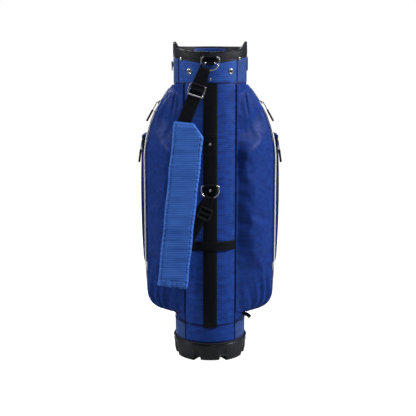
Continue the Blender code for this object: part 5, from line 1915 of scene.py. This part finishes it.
@dataclass
class Fittings:
    """Small things on the cuff and pockets: towel ring, grab handle, side catch and a loose tail."""

    dresser: Dresser
    spine: Spine

    def build(self) -> None:
        """Makes and dresses them."""
        dress = self.dresser.dress
        loop = 0.0027
        bar = (-0.1094, 0.866)
        yz = over_bar(*bar, 0.853, loop, 0.0016)
        path = np.column_stack([yz[:, 0], np.zeros(len(yz)), yz[:, 1]])
        out = np.cross(np.gradient(path, axis=0), (0, 1.0, 0))
        dress(band_on("towel_tab", path, 0.0120, out), "webbing", "webbing_black",
            stands_for=("towel_ring_tab",))
        dress(self.spine.ring("towel_hoop", bar, 0.0105, 0.022, 0.003, 0.0015, "yz"), "nickel",
            "bright_metal", "towel_loop", ("towel_ring",))
        self.handle()
        self.catch()
        tail = np.array([[0.0985, -0.044, 0.1270], [0.106, -0.045, 0.1280], [0.113, -0.047, 0.1250],
            [0.1195, -0.050, 0.1195]])
        dress(band_on("loose_tail", curved(tail, 30), 0.0115, (0.25, -1.0, 0.1)), "webbing", "webbing_black")

    def handle(self) -> None:
        """The grab handle: a moulded bar with grip ribs, flattened where it meets the cuff."""
        half, reach, corner = 0.036, 0.140, 0.014
        bend = arc(half - corner, reach - corner, corner, 0, 90, 12)
        side = np.vstack([[[half, 0.1036], [half, 0.110], [half, 0.118]], bend])
        line = np.vstack([side, (side * (-1, 1))[::-1]])
        line = resampled(np.column_stack([line, np.full(len(line), 0.845)]), 200)
        t = np.linspace(-1, 1, 200)
        rib = 0.00035 * np.cos(line[:, 0] / 0.0044 * 2 * pi) * (1 - smooth(np.abs(t), 0.20, 0.30))
        flare = 0.0022 * smooth(np.abs(t), 0.90, 0.99)
        radius = 0.0056 + rib
        section = circle(1.0, 20)[None] * np.stack([radius + flare, radius], -1)[:, None]
        piece = swept("grab_handle", line, section, (0, 0, 1))
        self.dresser.dress(piece, "black_plastic", "moulded_black", stands_for=("lift_handle",))

    def catch(self) -> None:
        """A low moulded catch on the right of the cuff: an oval pad on a bevelled plate."""
        z = 0.862 + 0.0195 * np.cos(np.linspace(0, pi, 40))
        t = np.linspace(-1, 1, 40)
        half = 6.0 * np.sqrt(np.clip(1 - t**4, 0.02, 1))
        across = np.linspace(-1, 1, 17)
        azimuth = 90 + half[:, None] * across[None]
        height = 0.0026 * (np.clip(1 - t**6, 0, 1)[:, None] * np.clip(1 - across**4, 0, 1)[None]) ** 0.6
        outer = polar(azimuth, 0.1064 + height, z[:, None])
        inner = polar(azimuth[:, ::-1], np.full_like(azimuth, 0.1061), z[:, None])
        piece = surface("side_catch", np.concatenate([outer, inner], 1), cols=True, caps=True)
        self.dresser.dress(piece, "black_plastic", "moulded_black")


# --- studio ------------------------------------------------------------------------------------


@dataclass
class Studio:
    """A pale floor, a white surround, soft area lights and the camera."""

    eye: tuple = (-0.006, -2.36, 0.835)
    pitch: float = 80.5
    lens: float = 69.7

    def camera(self) -> None:
        """A level camera a little below the bag's top, looking slightly down."""
        data = bpy.data.cameras.new("camera")
        data.lens, data.sensor_width = self.lens, 36.0
        camera = bpy.data.objects.new("camera", data)
        camera.location = self.eye
        camera.rotation_euler = (radians(self.pitch), 0.0, 0)
        bpy.context.scene.collection.objects.link(camera)
        bpy.context.scene.camera = camera

    def light(self, name: str, place: tuple, size: float, power: float, target: tuple = (0, 0, 0.5),
            colour: tuple = (1, 1, 1)) -> None:
        """An area light that faces a point."""
        data = bpy.data.lights.new(name, "AREA")
        data.size, data.energy, data.color = size, power, colour
        lamp = bpy.data.objects.new(name, data)
        lamp.location = place
        lamp.rotation_euler = (Vector(target) - Vector(place)).to_track_quat("-Z", "Y").to_euler()
        bpy.context.scene.collection.objects.link(lamp)

    def world(self) -> None:
        """White where the camera sees it and dimmer as a light, so that folds keep their shade."""
        world = bpy.data.worlds.new("surround")
        world.use_nodes = True
        tree = Tree(world.node_tree)
        background = world.node_tree.nodes["Background"]
        seen = tree.add("LightPath").outputs["Is Camera Ray"]
        background.inputs["Color"].default_value = (1, 1, 1, 1)
        tree.feed(background, "Strength", tree.ramp(seen, 0.0, 1.0, 0.09, 1.0))
        bpy.context.scene.world = world

    def floor(self) -> None:
        """A wide pale floor that is a little uneven in gloss."""
        edge = np.linspace(-6, 6, 13)
        x, y = np.meshgrid(edge, edge, indexing="ij")
        plane = surface("floor", np.stack([x, y, np.full_like(x, -0.0004)], -1))
        material, tree, shader = start_material("pale_floor")
        where = tree.add("TexCoord").outputs["Object"]
        cloud = tree.add("TexNoise", {"Vector": where, "Scale": 3.0, "Detail": 4.0})
        white, pale = (0.30, 0.30, 0.30, 1.0), (0.28, 0.28, 0.285, 1.0)
        tree.feed(shader, "Base Color", tree.mix(cloud.outputs[0], white, pale))
        tree.feed(shader, "Roughness", tree.ramp(cloud.outputs[0], 0.2, 0.8, 0.45, 0.6))
        seen = tree.add("LightPath").outputs["Is Camera Ray"]
        shader.inputs["Emission Color"].default_value = (1, 1, 1, 1)
        tree.feed(shader, "Emission Strength", tree.maths("MULTIPLY", seen, 0.97))
        plane.data.materials.append(material)

    def build(self) -> None:
        """Sets the whole studio up."""
        bpy.context.scene.view_settings.view_transform = "Standard"
        self.camera()
        self.world()
        self.floor()
        self.light("key", (2.8, -0.6, 2.2), 0.4, 132)
        self.light("left", (-2.8, -0.5, 2.2), 0.4, 70)
        self.light("front_fill", (0.6, -2.4, 2.8), 0.9, 14)
        self.light("back", (-0.8, 2.4, 2.0), 1.4, 60)
        self.light("top", (0.0, 0.0, 3.0), 1.2, 8, (0, 0, 0.8))


def main() -> None:
    """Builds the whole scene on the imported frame."""
    logging.basicConfig(level=logging.INFO, format="%(name)s: %(message)s")
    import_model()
    Studio().build()
    finishes = Finishes()
    finishes.build()
    dresser = Dresser(finishes)
    spine = Spine(dresser)
    groups = [Base(dresser), Tube(dresser), Cuff(dresser), Interior(dresser), spine, FrontPockets(dresser),
        Strap(dresser), Fittings(dresser, spine)]
    groups += [SidePocket(dresser, side) for side in ("left", "right")]
    for group in groups:
        group.build()
        LOG.info("%s built, %d pieces so far", type(group).__name__, dresser.count)
    bpy.context.view_layer.update()


if __name__ == "__main__":
    main()
